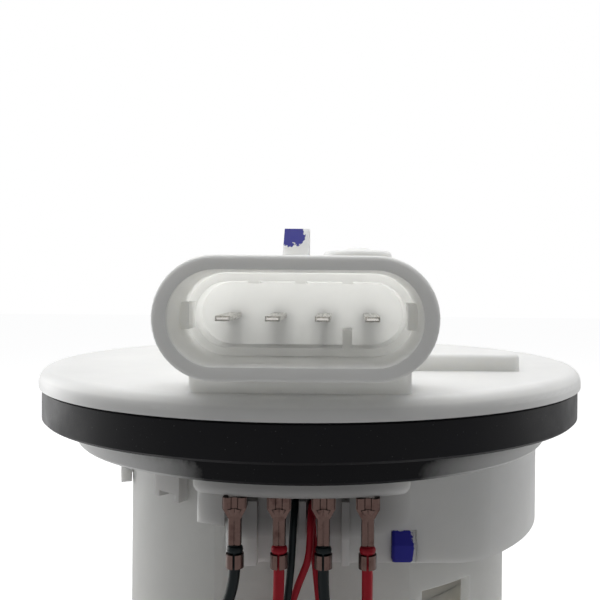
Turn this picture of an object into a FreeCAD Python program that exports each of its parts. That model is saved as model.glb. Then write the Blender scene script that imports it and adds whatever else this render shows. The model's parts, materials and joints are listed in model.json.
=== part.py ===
import FreeCAD, Part
import math
import os

# In-tank fuel pump module. Millimetres. The origin is the centre of the flange gasket's lower
# face, +Z is up out of the tank, and the electrical connector points to -Y.

Vector = FreeCAD.Vector
TOP = Vector(0, 0, 1)
BACK = Vector(0, 1, 0)
RIGHT = Vector(1, 0, 0)

# Running fits and seats
running_fit = 0.03
snug = 0.1
seat_gap = 0.3

# Flange and gasket
spigot_radius = 50.4
spigot_wall = 2.2
gasket_seat = 8.6
gasket_radius = spigot_radius + gasket_seat
gasket_height = 6.85
gasket_bevel = 0.5
lip_width = 1.6
lip_radius = spigot_radius + lip_width
lip_depth = 5.1
flange_overhang = 0.6
flange_radius = gasket_radius + flange_overhang
flange_thickness = 3.75
flange_edge_round = 2.6
skirt_wall = 1.7
skirt_depth = 22.0
skirt_start = -54.0
skirt_end = 100.0
front_wall_inset = 10.4
front_wall_y = front_wall_inset - spigot_radius
front_wall_left = -14.0
partitions = ((-9.7, 3.0), (-0.1, 1.3), (7.6, 1.4))
partition_height = 2.0
corner_round = 12.0
deck_depth = 8.1
deck_half_width = 18.7
deck_round = 2.0
partition_top = -10.5
anchor_low = -13.5
flange_low = gasket_height
flange_high = flange_low + flange_thickness

# Connector
blade_count = 4
blade_pitch = 7.62
blade_width = 2.3
blade_thickness = 0.8
blade_bevel = 0.25
blade_drop_inset = 3.9
blade_drop_y = blade_drop_inset - spigot_radius
blade_reach = 15.5
blade_tip_y = blade_drop_y - blade_reach
blade_end_z = -11.4
connector_z = 23.38
blade_z = 23.1
shroud_width = 42.4
shroud_height = 18.6
rim_reach = 20.5
rim_y = blade_drop_y - rim_reach
rim_round = 0.7
socket_width = 37.8
socket_height = 14.3
socket_draft = 0.8
step_reach = 7.5
socket_step_y = blade_drop_y - step_reach
floor_reach = 2.5
socket_floor_y = blade_drop_y - floor_reach
deep_width = 34.2
deep_height = 10.8
deep_draft = 0.3
shroud_tail = 6.0
shroud_back_y = blade_drop_y + shroud_tail
pedestal_half_width = 18.2
pedestal_reach = 8.0
pedestal_front_y = blade_drop_y - pedestal_reach
pedestal_corner = 1.2
key_length = 5.0
key_height = 4.2
guide_rib_width = 1.8
guide_rib_proud = 0.35
lower_key_width = 1.55
lower_key_top = 21.0
lock_width = 3.9
lock_x = -0.33
lock_height = 4.35
lock_reach = 12.5
lock_face_y = blade_drop_y - lock_reach
lock_ramp = 4.0
lock_thickness = 1.8

# Outlet tower, nipple, tail barb and flow channel
outlet_x = 10.0
tower_radius = 8.0
tower_top = 35.9
tower_round = 1.2
dome_radius = 4.3
dome_height = 0.85
nipple_z = 26.0
nipple_radius = 3.945
nipple_tip_y = 44.0
nipple_bevel = 0.6
bead_radius = 5.05
bead_width = 1.6
bead_from_tip = 20.0
gusset_width = 3.0
gusset_reach = 20.0
passage_radius = 2.5
barb_radius = 4.4
barb_root_radius = 3.8
barb_bore = 2.6
barb_length = 11.8
barb_rings = 3
channel_right = 43.3
channel_front_y = -21.4
channel_back_y = -9.0
channel_height = 3.4
channel_round = 0.8

# Housing tube under the flange
housing_x = 1.5
housing_inset = 8.4
housing_radius = spigot_radius - housing_inset
housing_wall = 2.0
housing_top = 2.0
housing_bottom = -120.0
housing_flat_y = front_wall_y + skirt_wall + seat_gap
ring_wall = 2.2
ring_depth = 5.0
ring_tabs = (
    (170.0, 200.5, 14.4),
    (227.0, 229.0, 12.1),
    (229.0, 234.8, 11.0),
    (234.8, 236.2, 12.4),
    (242.0, 250.5, 15.1),
    (110.0, 140.0, 14.5),
    (20.0, 50.0, 14.5),
)
latch_x = 18.2
latch_width = 4.4
latch_top = -16.2
latch_bottom = -21.6
latch_proud = 0.9
latch_slope = 1.2
hook_proud = 2.0
hook_width = 6.0
hook_height = 3.6
hook_z = -9.8
hook_angles = (190.0, 35.0)
notch_half_width = 6.0
notch_depth = 15.0
shelf_width = 4.0
shelf_thickness = 2.0
upper_window_top = -28.4
upper_windows = ((-61.0, -43.6), (55.0, 80.0), (100.0, 125.0))
lower_window_sill = 10.0
lower_windows = ((-50.0, -20.0), (25.0, 60.0), (75.0, 105.0), (120.0, 150.0))
window_margin = 6.0
lead_window_x = 10.0
lead_window_width = 16.0
lead_window_height = 20.0
lead_window_rise = 7.5

# Filter
filter_clearance = 4.6
filter_radius = housing_radius - housing_wall - filter_clearance
filter_wall = 2.0
filter_top = -34.0
filter_height = 34.0
filter_floor = filter_top - filter_height
filter_rim_width = 2.6
cover_thickness = 3.0
cover_lip = 3.0
cover_lip_wall = 1.6
cover_rib_height = 1.6
pleat_count = 24
pleat_clearance = 1.9
pleat_outer = filter_radius - filter_wall - pleat_clearance
pleat_inner = 15.0
pleat_band = 3.0
end_cap_thickness = 1.6
end_cap_margin = 0.6
plenum_height = 5.4

# Pressure regulator
regulator_inset = 9.9
regulator_x = housing_x - filter_radius + regulator_inset
pocket_radius = 10.4
pocket_bore = 8.9
pocket_length = 16.0
pocket_bottom = filter_floor - pocket_length
regulator_radius = 7.2
regulator_drop = 2.0
regulator_top = filter_floor - regulator_drop
regulator_wall = 0.8
regulator_lip = 2.0
regulator_nipple = 2.1
regulator_nipple_length = 5.5
regulator_disc_height = 1.6
regulator_nose = 1.8
regulator_wire = 0.8
ring_seal_radius = 0.8
clip_wall = 0.8
clip_height = 6.0
clip_window = 4.4

# Delivery hose
hose_wall = 1.2
hose_tail = 12.0
hose_end_gap = 0.6
hose_waves = 5
hose_wave_height = 1.6

# Pump
pump_x = 10.0
pump_radius = 19.0
pump_wall = 1.0
pump_nipple_radius = 4.0
pump_nipple_drop = 3.0
pump_nipple_top = filter_floor - pump_nipple_drop
pump_nipple_length = 13.0
endbell_top = pump_nipple_top - pump_nipple_length
endbell_depth = 8.0
endbell_rise = 6.0
pump_top = endbell_top - endbell_rise
pump_length = 62.0
pump_bottom = pump_top - pump_length
crimp_width = 1.8
case_bevel = 0.6
shaft_radius = 2.0
bearing_radius = 3.6
bearing_height = 4.0
impeller_radius = 15.5
impeller_thickness = 3.7
impeller_play = 0.15
vane_count = 30
vane_depth = 2.8
vane_width = 1.7
vane_rim = 0.8
plate_thickness = 5.0
inlet_cover_thickness = 6.0
inlet_y = -8.0
inlet_radius = 4.5
inlet_bore = 3.0
inlet_length = 6.0
groove_radius = 1.6
core_radius = 12.5
core_slots = 8
slot_radius = 2.2
slot_centre = 9.0
slot_mouth = 1.2
winding_height = 2.8
commutator_radius = 8.4
commutator_height = 5.0
magnet_inner = 13.1
magnet_outer = 17.9
magnet_gap_angle = 40.0
brush_size = 3.6
brush_length = 7.0
brush_offset = 6.2
brush_spring_length = 6.0
valve_bore = 2.7
valve_radius = 2.5

# Pump carriers
socket_tube_radius = 7.0
socket_tube_bore = 5.2
socket_tube_length = 12.0
socket_tube_bottom = filter_floor - socket_tube_length
holder_outer_wall = 2.4
holder_floor = 2.0
isolator_wall = 1.7
isolator_lip = 1.5
isolator_height = 8.0
holder_cup_height = 6.0
holder_ring_height = 4.0
collar_width = 5.7
holder_ring_inner = housing_radius - housing_wall - seat_gap - collar_width
leg_half_angle = 11.0
arm_width = 8.0
arm_angles = (90.0, 210.0, 330.0)
lug_angles = (90.0, 210.0, 330.0)

# Reservoir
reservoir_gap = 0.3
reservoir_wall = 2.2
cup_overlap = 8.0
reservoir_top = housing_bottom + cup_overlap
reservoir_feet = 4.0
reservoir_floor = 2.5
snap_angles = (30.0, 150.0, 270.0)
snap_width = 8.0
snap_height = 3.0
snap_rise = 4.0
snap_z = housing_bottom + snap_rise
cup_round = 3.0
cup_rim = 0.8
cup_ribs = (15, 45, 75, 105, 135, 225, 255, 285, 315, 345)
cup_rib_width = 1.6
foot_count = 4
foot_radius = 5.0
foot_inset = 8.0
foot_circle = housing_radius - foot_inset

# Foot valve and jet pump
foot_valve_x = -16.0
foot_valve_y = 23.0
foot_valve_radius = 7.0
foot_valve_disc = 1.0
foot_valve_stem = 1.4
foot_valve_stroke = 1.5
foot_port_radius = 1.2
foot_port_circle = 4.4
jet_radius = 4.0
jet_bore = 2.2
jet_half_length = 14.0
jet_rise = 5.5
riser_height = 12.0
jet_nozzle = 0.9
jet_tail = 6.0
jet_foot_half = 6.0
jet_tube_radius = 3.2

# Strainer
strainer_drop = 8.0
strainer_high = pump_bottom - strainer_drop
strainer_thickness = 5.2
strainer_low = strainer_high - strainer_thickness
strainer_floor_gap = 0.3
strainer_left = -6.0
strainer_right = 34.0
strainer_half_depth = 19.0
strainer_round = 2.4
strainer_corner = 8.0
neck_wall = 2.0
neck_flange = 3.0
neck_flange_height = 1.2
reservoir_bottom = strainer_low - strainer_floor_gap - reservoir_floor - reservoir_feet

# Level sender
sender_standoff = 2.8
plate_thick = 3.3
plate_outer_x = housing_x - housing_radius - sender_standoff - plate_thick
plate_front_y = -16.5
plate_rear_y = 9.5
plate_top = filter_floor - window_margin
plate_bottom = reservoir_top
plate_corner = 1.5
pivot_rise = 14.0
pivot_z = plate_bottom + pivot_rise
arm_low_angle = -36.0
arm_swing = 76.0
arm_length = 92.0
arm_wire = 2.0
arm_bend = 2.6
hub_radius = 6.5
hub_gap = 0.9
hub_thickness = 2.1
hub_inner_x = plate_outer_x - hub_gap
hub_outer_x = hub_inner_x - hub_thickness
holder_block_start = 4.0
holder_block_end = 15.0
holder_block_width = 5.0
stop_radius = 1.2
stop_circle = 11.0
card_inner = 9.0
card_outer = 15.0
card_thickness = 0.6
wiper_thickness = 0.3
wiper_reach = 14.4
finger_length = 4.8
finger_half_width = 0.5
finger_offset = 1.2
float_length = 26.0
float_height = 17.0
float_width = 22.0
float_round = 2.5
float_start = 3.4
end_leg = 28.0
washer_radius = 4.0
washer_thickness = 0.6

# Receptacles
head_half = 2.05
head_depth = 1.15
head_height = 1.9
head_top = -deck_depth - snug
head_low = -11.9
curl_radius = 0.85
crimp_half = 1.1
crimp_round = 0.4
crimp_low = -16.5
wing_high = -18.1
wing_low = -20.5
strip_thickness = 0.3
seam_width = 0.4
crease_width = 0.2

# Leads
lead_diameter = 1.9
thin_diameter = 1.3
lead_top_z = -16.6
plug_half_width = 6.5
plug_front_y = -16.5
plug_back_y = -9.3
plug_low = endbell_top + seat_gap
plug_height = 10.2
plug_high = plug_low + plug_height
plug_lead_rise = 5.2
plug_lead_z = plug_low + plug_lead_rise
lead_window_top = plug_lead_z + lead_window_rise
lead_window_bottom = lead_window_top - lead_window_height
route_wall_radius = 42.0
sender_lead_inset = 1.6
sender_lead_x = plate_outer_x + sender_lead_inset
sender_ways = (4.8, 1.6, -1.6, -4.8)
sender_hole_depth = 2.0


def cylinder(radius, low, high, x=0.0, y=0.0):
    return Part.makeCylinder(radius, high - low, Vector(x, y, low))


def ring(outer, inner, low, high, x=0.0, y=0.0):
    return cylinder(outer, low, high, x, y).cut(cylinder(inner, low - 1, high + 1, x, y))


def block(x_low, x_high, y_low, y_high, z_low, z_high):
    size = (x_high - x_low, y_high - y_low, z_high - z_low)
    return Part.makeBox(*size, Vector(x_low, y_low, z_low))


def joined(first, *others):
    return first.fuse(list(others)).removeSplitter()


def sector(outer, inner, low, high, start, end, x=0.0, y=0.0):
    """Piece of a ring between two angles in degrees from +X."""
    base = Vector(x, y, low)
    outside = Part.makeCylinder(outer, high - low, base, TOP, end - start)
    inside = Part.makeCylinder(inner, high - low, base, TOP, end - start)
    return outside.cut(inside).rotate(base, TOP, start)


def radial_block(start, end, width, low, high, angle, x=0.0, y=0.0):
    """Block that runs outwards from an upright axis at an angle in degrees."""
    bar = block(x + start, x + end, y - width / 2, y + width / 2, low, high)
    return bar.rotate(Vector(x, y, 0), TOP, angle)


def turned(profile, x=0.0, y=0.0):
    """Solid of revolution about an upright axis from radius and height pairs."""
    corners = [Vector(x + radius, y, height) for radius, height in profile]
    outline = Part.makePolygon(corners + corners[:1])
    return Part.Face(outline).revolve(Vector(x, y, 0), TOP, 360)


def rounded(solid, radius, wanted):
    return solid.makeFillet(radius, [edge for edge in solid.Edges if wanted(edge.BoundBox)])


def rounded_block(x_low, x_high, y_low, y_high, z_low, z_high, corner):
    """Block with its upright corners rounded."""
    solid = block(x_low, x_high, y_low, y_high, z_low, z_high)
    return rounded(solid, corner, lambda box: box.ZLength > z_high - z_low - 0.01)


def stadium(width, height, y, z):
    """Flat-sided oval in an upright plane facing the connector's way."""
    half = (width - height) / 2
    radius = height / 2
    edges = (
        Part.LineSegment(Vector(-half, y, z + radius), Vector(half, y, z + radius)),
        Part.Arc(Vector(half, y, z + radius), Vector(half + radius, y, z), Vector(half, y, z - radius)),
        Part.LineSegment(Vector(half, y, z - radius), Vector(-half, y, z - radius)),
        Part.Arc(Vector(-half, y, z - radius), Vector(-half - radius, y, z), Vector(-half, y, z + radius)),
    )
    return Part.Wire([edge.toShape() for edge in edges])


def stadium_bar(width, height, y_low, y_high, z):
    return Part.Face(stadium(width, height, y_low, z)).extrude(Vector(0, y_high - y_low, 0))


def tube_path(points, bend=None):
    """Straight runs joined by tangent arcs, and the radius of each arc."""
    edges = []
    radii = []
    start = points[0]
    for before, corner, after in zip(points, points[1:], points[2:]):
        arrive = (corner - before).normalize()
        leave = (after - corner).normalize()
        turn = arrive.getAngle(leave)
        reach = 0.45 * min((corner - before).Length, (after - corner).Length)
        if bend is not None:
            reach = bend * math.tan(turn / 2)
        radius = reach / math.tan(turn / 2)
        arc_start = corner - arrive * reach
        arc_end = corner + leave * reach
        inward = (leave - arrive).normalize()
        middle = corner + inward * (radius / math.cos(turn / 2) - radius)
        edges.append(Part.LineSegment(start, arc_start).toShape())
        edges.append(Part.Arc(arc_start, middle, arc_end).toShape())
        radii.append(radius)
        start = arc_end
    edges.append(Part.LineSegment(start, points[-1]).toShape())
    return Part.Wire(edges), radii


def tube(points, diameter, bend=None):
    path, radii = tube_path(points, bend)
    section = Part.Wire(Part.makeCircle(diameter / 2, points[0], points[1] - points[0]))
    solid = path.makePipeShell([section], True, False)
    ideal = math.pi * diameter ** 2 / 4 * path.Length
    print(
        "tube length", round(path.Length, 1),
        "least radius", round(min(radii), 2),
        "volume ratio", round(solid.Volume / ideal, 4),
    )
    return solid


def coil_spring(radius, wire, turns, low, high, x, y):
    """Compression spring with square wire."""
    height = high - low - wire
    helix = Part.makeHelix(height / turns, height, radius)
    half = wire / 2
    corners = [
        Vector(radius - half, 0, -half),
        Vector(radius + half, 0, -half),
        Vector(radius + half, 0, half),
        Vector(radius - half, 0, half),
    ]
    section = Part.makePolygon(corners + corners[:1])
    solid = Part.Wire(helix).makePipeShell([section], True, True)
    solid.translate(Vector(x, y, low + half))
    return solid


def torus(major, minor, x, y, z):
    return Part.makeTorus(major, minor, Vector(x, y, z))


def blade_positions():
    middle = (blade_count - 1) / 2
    return [(index - middle) * blade_pitch for index in range(blade_count)]


def barb(x, y, low, high, tip_down):
    """Hose tail with saw-tooth rings; its bore is cut by the caller."""
    body = cylinder(barb_root_radius, low, high, x, y)
    step = (high - low) / (barb_rings + 1)
    for index in range(barb_rings):
        if tip_down:
            base = low + (index + 1) * step
            tooth = Part.makeCone(barb_root_radius, barb_radius, step * 0.7, Vector(x, y, base - step * 0.7))
        else:
            base = high - (index + 1) * step
            tooth = Part.makeCone(barb_radius, barb_root_radius, step * 0.7, Vector(x, y, base))
        body = body.fuse(tooth)
    return body.removeSplitter()


# Flange

def flange_disc():
    disc = cylinder(flange_radius, flange_low, flange_high)
    return rounded(disc, flange_edge_round, lambda box: box.ZMin > flange_high - 0.01)


def connector_body():
    shroud = stadium_bar(shroud_width, shroud_height, rim_y, shroud_back_y, connector_z)
    shroud = rounded(shroud, rim_round, lambda box: box.YMax < rim_y + 0.01)
    pedestal = rounded_block(
        -pedestal_half_width, pedestal_half_width, pedestal_front_y, shroud_back_y,
        flange_high - 1, connector_z, pedestal_corner,
    )
    return shroud.fuse(pedestal)


def connector_recess():
    mouth = Part.makeLoft([
        stadium(socket_width, socket_height, rim_y - 0.01, connector_z),
        stadium(socket_width - socket_draft, socket_height - socket_draft, socket_step_y, connector_z),
    ], True, True)
    deep = Part.makeLoft([
        stadium(deep_width, deep_height, socket_step_y - 0.01, connector_z),
        stadium(deep_width - deep_draft, deep_height - deep_draft, socket_floor_y, connector_z),
    ], True, True)
    return mouth.fuse(deep)


def connector_keys():
    pieces = []
    inner = deep_width / 2
    outer = socket_width / 2 + 0.5
    for low, high in ((-outer, -inner), (inner, outer)):
        pieces.append(block(
            low, high, socket_step_y - key_length, socket_step_y + 0.5,
            connector_z - key_height / 2, connector_z + key_height / 2,
        ))
    roof = connector_z + deep_height / 2
    for x in (-blade_pitch, 0.0, blade_pitch):
        pieces.append(block(
            x - guide_rib_width / 2, x + guide_rib_width / 2,
            socket_step_y, socket_floor_y + 0.5, roof - guide_rib_proud, roof + 0.5,
        ))
    pieces.append(block(
        blade_pitch - lower_key_width / 2, blade_pitch + lower_key_width / 2,
        socket_step_y, socket_floor_y + 0.5,
        connector_z - deep_height / 2 - 0.5, lower_key_top,
    ))
    return pieces


def lock_tab():
    base = connector_z + shroud_height / 2 - 0.5
    top = connector_z + shroud_height / 2 + lock_height
    corners = [
        Vector(lock_x - lock_width / 2, lock_face_y - lock_ramp, base),
        Vector(lock_x - lock_width / 2, lock_face_y, top),
        Vector(lock_x - lock_width / 2, lock_face_y + lock_thickness, top),
        Vector(lock_x - lock_width / 2, lock_face_y + lock_thickness, base),
    ]
    profile = Part.Face(Part.makePolygon(corners + corners[:1]))
    return profile.extrude(Vector(lock_width, 0, 0))


def outlet_tower():
    tower = cylinder(tower_radius, flange_high - 1, tower_top, outlet_x)
    tower = rounded(tower, tower_round, lambda box: box.ZMin > tower_top - 0.01)
    ball = (dome_radius ** 2 + dome_height ** 2) / (2 * dome_height)
    dome = Part.makeSphere(ball, Vector(outlet_x, 0, tower_top + dome_height - ball))
    dome = dome.common(cylinder(dome_radius + 0.5, tower_top - 0.2, tower_top + 1, outlet_x))
    nipple = Part.makeCylinder(nipple_radius, nipple_tip_y, Vector(outlet_x, 0, nipple_z), BACK)
    nipple = nipple.makeChamfer(
        nipple_bevel,
        [edge for edge in nipple.Edges if edge.BoundBox.YMin > nipple_tip_y - 0.01],
    )
    bead_y = nipple_tip_y - bead_from_tip - bead_width
    bead = Part.makeCylinder(bead_radius, bead_width, Vector(outlet_x, bead_y, nipple_z), BACK)
    gusset_top = nipple_z - nipple_radius / 2
    corners = [
        Vector(outlet_x - gusset_width / 2, 0, flange_high - 1),
        Vector(outlet_x - gusset_width / 2, gusset_reach, flange_high - 1),
        Vector(outlet_x - gusset_width / 2, gusset_reach, flange_high + 1),
        Vector(outlet_x - gusset_width / 2, tower_radius + 4, gusset_top),
        Vector(outlet_x - gusset_width / 2, 0, gusset_top),
    ]
    gusset = Part.Face(Part.makePolygon(corners + corners[:1])).extrude(Vector(gusset_width, 0, 0))
    return joined(tower, dome, nipple, bead, gusset)


def outlet_passage():
    barb_tip = flange_low - barb_length
    riser = cylinder(barb_bore, barb_tip - 1, nipple_z, outlet_x)
    run = Part.makeCylinder(passage_radius, nipple_tip_y + 1, Vector(outlet_x, 0, nipple_z), BACK)
    elbow = Part.makeSphere(barb_bore, Vector(outlet_x, 0, nipple_z))
    return riser.fuse([run, elbow])


def flow_channel():
    top = flange_high + channel_height
    bar = rounded_block(
        outlet_x, channel_right, channel_front_y, channel_back_y, flange_high - 1, top, pedestal_corner,
    )
    return rounded(bar, channel_round, lambda box: box.ZMin > top - 0.01)


def socket_ring():
    """Ring and hanging tabs that hold the top of the housing."""
    inner = housing_radius + seat_gap
    outer = inner + ring_wall
    band = ring(outer, inner, -ring_depth, flange_low + 0.5, housing_x)
    pieces = [
        sector(outer, inner, -depth, -ring_depth + 0.5, start, end, housing_x)
        for start, end, depth in ring_tabs
    ]
    return band.fuse(pieces)


def hook_windows():
    size = 2 * seat_gap
    reach = housing_radius + 10
    return [
        radial_block(
            housing_radius, reach, hook_width + size,
            hook_z - hook_height / 2 - seat_gap, hook_z + hook_height / 2 + seat_gap,
            angle, housing_x,
        )
        for angle in hook_angles
    ]


def skirt_form(inset, low, high):
    """Round skirt with its flat front, and a soft corner at the flat's right end."""
    radius = spigot_radius - inset
    flat_y = front_wall_y + inset
    form = cylinder(radius, low, high)
    form = form.cut(block(-radius, radius, -radius - 1, flat_y, low - 1, high + 1))
    return rounded(
        form, corner_round - inset,
        lambda box: box.ZLength > high - low - 0.01 and box.XMin > 1 and box.YMax < flat_y + 0.01,
    )


def skirt():
    """Curved wall at the right and the flat wall behind the receptacles."""
    form = skirt_form(0, -skirt_depth, 0.5).cut(skirt_form(skirt_wall, -skirt_depth - 1, 1.5))
    kept = sector(spigot_radius + 1, 5.0, -skirt_depth, 0.5, skirt_start - 90.0, skirt_end)
    kept = kept.cut(block(
        -spigot_radius - 2, front_wall_left, -spigot_radius - 2, 0, -skirt_depth - 1, 1,
    ))
    curved = form.common(kept)
    flat = block(
        front_wall_left, spigot_radius / 2, front_wall_y, front_wall_y + skirt_wall,
        -lip_depth, flange_low + 0.5,
    )
    ends = [
        radial_block(
            housing_radius + seat_gap + 0.5, spigot_radius + 3, skirt_wall,
            -skirt_depth / 2, flange_low + 0.5, angle,
        )
        for angle in (skirt_end - 1.0, 40.0, 0.0)
    ]
    limit = cylinder(spigot_radius - 0.2, -skirt_depth, flange_low + 1)
    hollow = cylinder(housing_radius + seat_gap + 0.4, -skirt_depth - 1, flange_low, housing_x)
    ends = [end.common(limit).cut(hollow) for end in ends]
    ribs = [
        block(
            x - width / 2, x + width / 2, front_wall_y - partition_height, front_wall_y + 0.5,
            -skirt_depth, partition_top,
        )
        for x, width in partitions
    ]
    return curved.fuse([flat] + ends + ribs)


def terminal_deck():
    """Solid block under the disc that the blades come down through."""
    back = front_wall_y + skirt_wall
    deck = block(
        -deck_half_width, deck_half_width, -spigot_radius, back, -deck_depth, flange_low + 0.5,
    )
    deck = deck.common(cylinder(spigot_radius - 0.2, -deck_depth, flange_low + 1))
    return rounded(
        deck, deck_round,
        lambda box: box.ZMax < -deck_depth + 0.01 and box.YMin < front_wall_y - 1,
    )


def lead_anchor():
    """Block in the housing's notch that the thin leads start from."""
    half = notch_half_width - seat_gap
    back = housing_flat_y + 2 * housing_wall
    return block(-half, half, front_wall_y + 0.5, back, anchor_low, flange_low + 0.5)


def blade(x):
    half = blade_width / 2
    thick = blade_thickness / 2
    level = block(
        x - half, x + half, blade_tip_y, blade_drop_y + thick, blade_z - thick, blade_z + thick,
    )
    level = level.makeChamfer(
        blade_bevel,
        [edge for edge in level.Edges if edge.BoundBox.YMax < blade_tip_y + 0.01],
    )
    drop = block(
        x - half, x + half, blade_drop_y - thick, blade_drop_y + thick, blade_end_z, blade_z + thick,
    )
    return joined(level, drop)


def flange():
    spigot = ring(spigot_radius, spigot_radius - spigot_wall, -lip_depth, flange_low + 0.5)
    latch_hole = block(
        latch_x - latch_width / 2 - snug, latch_x + latch_width / 2 + snug,
        front_wall_y - 0.5, front_wall_y + skirt_wall + 0.5,
        latch_bottom - snug, latch_top + snug,
    )
    front_space = block(
        front_wall_left, spigot_radius, -spigot_radius, front_wall_y, -skirt_depth - 1, -lip_depth,
    )
    holder = socket_ring().cut(front_space)
    body = flange_disc().fuse([
        spigot, holder, skirt(), terminal_deck(), outlet_tower(), flow_channel(),
        barb(outlet_x, 0.0, flange_low - barb_length, flange_low + 0.5, True),
    ])
    body = body.fuse([connector_body(), lock_tab()])
    body = body.cut(connector_recess())
    body = body.fuse(connector_keys() + [lead_anchor()])
    inner_space = cylinder(housing_radius + seat_gap, -skirt_depth - 1, flange_low, housing_x)
    inner_space = inner_space.cut(block(
        -spigot_radius, spigot_radius, -spigot_radius, front_wall_y + skirt_wall,
        -skirt_depth - 2, flange_low + 1,
    ))
    kept = lead_anchor().fuse(cylinder(barb_radius + 1, -skirt_depth, flange_low + 1, outlet_x))
    body = body.cut(inner_space.cut(kept))
    body = body.cut([latch_hole, outlet_passage()] + hook_windows())
    body = body.cut([blade(x) for x in blade_positions()])
    body = body.cut(thin_lead_holes())
    return body.removeSplitter()


def flange_gasket():
    inner = spigot_radius + snug
    bevel = gasket_bevel
    return turned([
        (inner, -lip_depth),
        (lip_radius - bevel, -lip_depth),
        (lip_radius, -lip_depth + bevel),
        (lip_radius, 0),
        (gasket_radius - bevel, 0),
        (gasket_radius, bevel),
        (gasket_radius, gasket_height - bevel),
        (gasket_radius - bevel, gasket_height),
        (inner, gasket_height),
    ])


# Receptacles crimped on the leads

def receptacle(x):
    """Box with two curls that grips the blade, a wire crimp and a pair of insulation wings."""
    y = blade_drop_y
    shoulder = head_top - head_height
    head = Part.makeLoft([
        rectangle(x, y, head_half, head_depth, head_top),
        rectangle(x, y, head_half, head_depth, shoulder),
        rectangle(x, y, crimp_half, crimp_half * 0.8, head_low),
    ], True, True)
    curls = []
    curl_y = y - head_depth + curl_radius / 2
    for side in (-1, 1):
        curl_x = x + side * (head_half - curl_radius)
        curls.append(cylinder(curl_radius, shoulder, head_top, curl_x, curl_y))
        curls.append(Part.makeCone(
            curl_radius * 0.3, curl_radius, shoulder - head_low,
            Vector(x + side * 0.2, curl_y + 0.2, head_low), Vector(side * 0.22, -0.06, 1),
        ))
    wire_crimp = rounded_block(
        x - crimp_half, x + crimp_half, y - crimp_half * 0.85, y + crimp_half * 0.7,
        crimp_low, head_low + 0.3, crimp_round,
    )
    strip = block(
        x - crimp_half * 0.8, x + crimp_half * 0.8,
        y + crimp_half * 0.3, y + lead_diameter / 2 + strip_thickness, wing_low, crimp_low + 0.6,
    )
    wings = cylinder(lead_diameter / 2 + strip_thickness * 2, wing_low, wing_high, x, y)
    seam = block(
        x - seam_width / 2, x + seam_width / 2, y - 3, y - lead_diameter / 2 + 0.1,
        wing_low - 1, wing_high + 1,
    )
    crease = block(
        x - crease_width / 2, x + crease_width / 2, y - 2, y - crimp_half * 0.6,
        crimp_low - 1, head_low - 0.4,
    )
    grip = block(
        x - blade_width / 2 - snug / 2, x + blade_width / 2 + snug / 2,
        y - blade_thickness / 2 - snug / 2, y + blade_thickness / 2 + snug / 2,
        blade_end_z - 0.1, head_top + 1,
    )
    body = head.fuse(curls + [wire_crimp, strip, wings])
    body = body.cut([seam, crease, grip])
    body = body.cut(cylinder(lead_diameter / 2, wing_low - 1, lead_top_z + 0.01, x, y))
    return body.removeSplitter()


def rectangle(x, y, half_width, half_depth, z):
    corners = [
        Vector(x - half_width, y - half_depth, z),
        Vector(x + half_width, y - half_depth, z),
        Vector(x + half_width, y + half_depth, z),
        Vector(x - half_width, y + half_depth, z),
    ]
    return Part.makePolygon(corners + corners[:1])


# Leads: each route is a list of points chosen by hand

def beside_wall(points):
    """Move a route's middle points out or in with the housing's wall."""
    shift = housing_radius - route_wall_radius
    middle = []
    for point in points[2:-2]:
        outward = Vector(point.x - housing_x, point.y, 0).normalize()
        middle.append(point + outward * shift)
    return points[:2] + middle + points[-2:]


def sender_lead_black_route():
    x = blade_positions()[0]
    return [
        Vector(x, blade_drop_y, lead_top_z),
        Vector(x, blade_drop_y, -23.2),
        Vector(-13.7, -46.0, -29.8),
        Vector(-17.8, -44.2, -36.0),
        Vector(-23.6, -40.9, -41.2),
        Vector(-29.8, -36.0, -45.2),
        Vector(-35.6, -29.4, -48.4),
        Vector(-40.5, -21.2, -51.0),
        Vector(-44.0, -12.0, -53.4),
        Vector(-45.4, -3.4, -56.4),
        Vector(-45.1, 2.8, -60.8),
        Vector(sender_lead_x, sender_ways[0], -67.4),
        Vector(sender_lead_x, sender_ways[0], plate_top - sender_hole_depth),
    ]


def sender_lead_red_route():
    x = blade_positions()[1]
    return [
        Vector(x, blade_drop_y, lead_top_z),
        Vector(x, blade_drop_y, -27.0),
        Vector(-5.2, -46.4, -37.0),
        Vector(-10.6, -45.6, -44.5),
        Vector(-18.4, -43.4, -49.6),
        Vector(-26.4, -38.9, -53.2),
        Vector(-33.6, -32.1, -55.6),
        Vector(-39.6, -23.6, -57.4),
        Vector(-43.8, -14.2, -59.2),
        Vector(-45.4, -6.0, -61.8),
        Vector(-45.1, -0.2, -65.8),
        Vector(sender_lead_x, sender_ways[1], -70.9),
        Vector(sender_lead_x, sender_ways[1], plate_top - sender_hole_depth),
    ]


def pump_lead_black_route():
    x = blade_positions()[2]
    return [
        Vector(x, blade_drop_y, lead_top_z),
        Vector(x, blade_drop_y, -23.6),
        Vector(4.9, -46.7, -34.0),
        Vector(5.4, -46.7, -47.0),
        Vector(6.3, -46.0, -58.0),
        Vector(7.3, -43.4, -67.6),
        Vector(7.5, -38.4, plug_lead_z + 3.5),
        Vector(7.5, -31.0, plug_lead_z + 0.3),
        Vector(7.5, -23.4, plug_lead_z),
        Vector(7.5, plug_front_y + 1.0, plug_lead_z),
    ]


def pump_lead_red_route():
    x = blade_positions()[3]
    return [
        Vector(x, blade_drop_y, lead_top_z),
        Vector(x, blade_drop_y, -25.0),
        Vector(11.4, -46.1, -36.0),
        Vector(12.0, -45.8, -47.4),
        Vector(12.5, -45.2, -58.0),
        Vector(12.6, -43.2, -67.4),
        Vector(12.5, -38.4, plug_lead_z + 3.5),
        Vector(12.5, -31.0, plug_lead_z + 0.3),
        Vector(12.5, -23.4, plug_lead_z),
        Vector(12.5, plug_front_y + 1.0, plug_lead_z),
    ]


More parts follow.
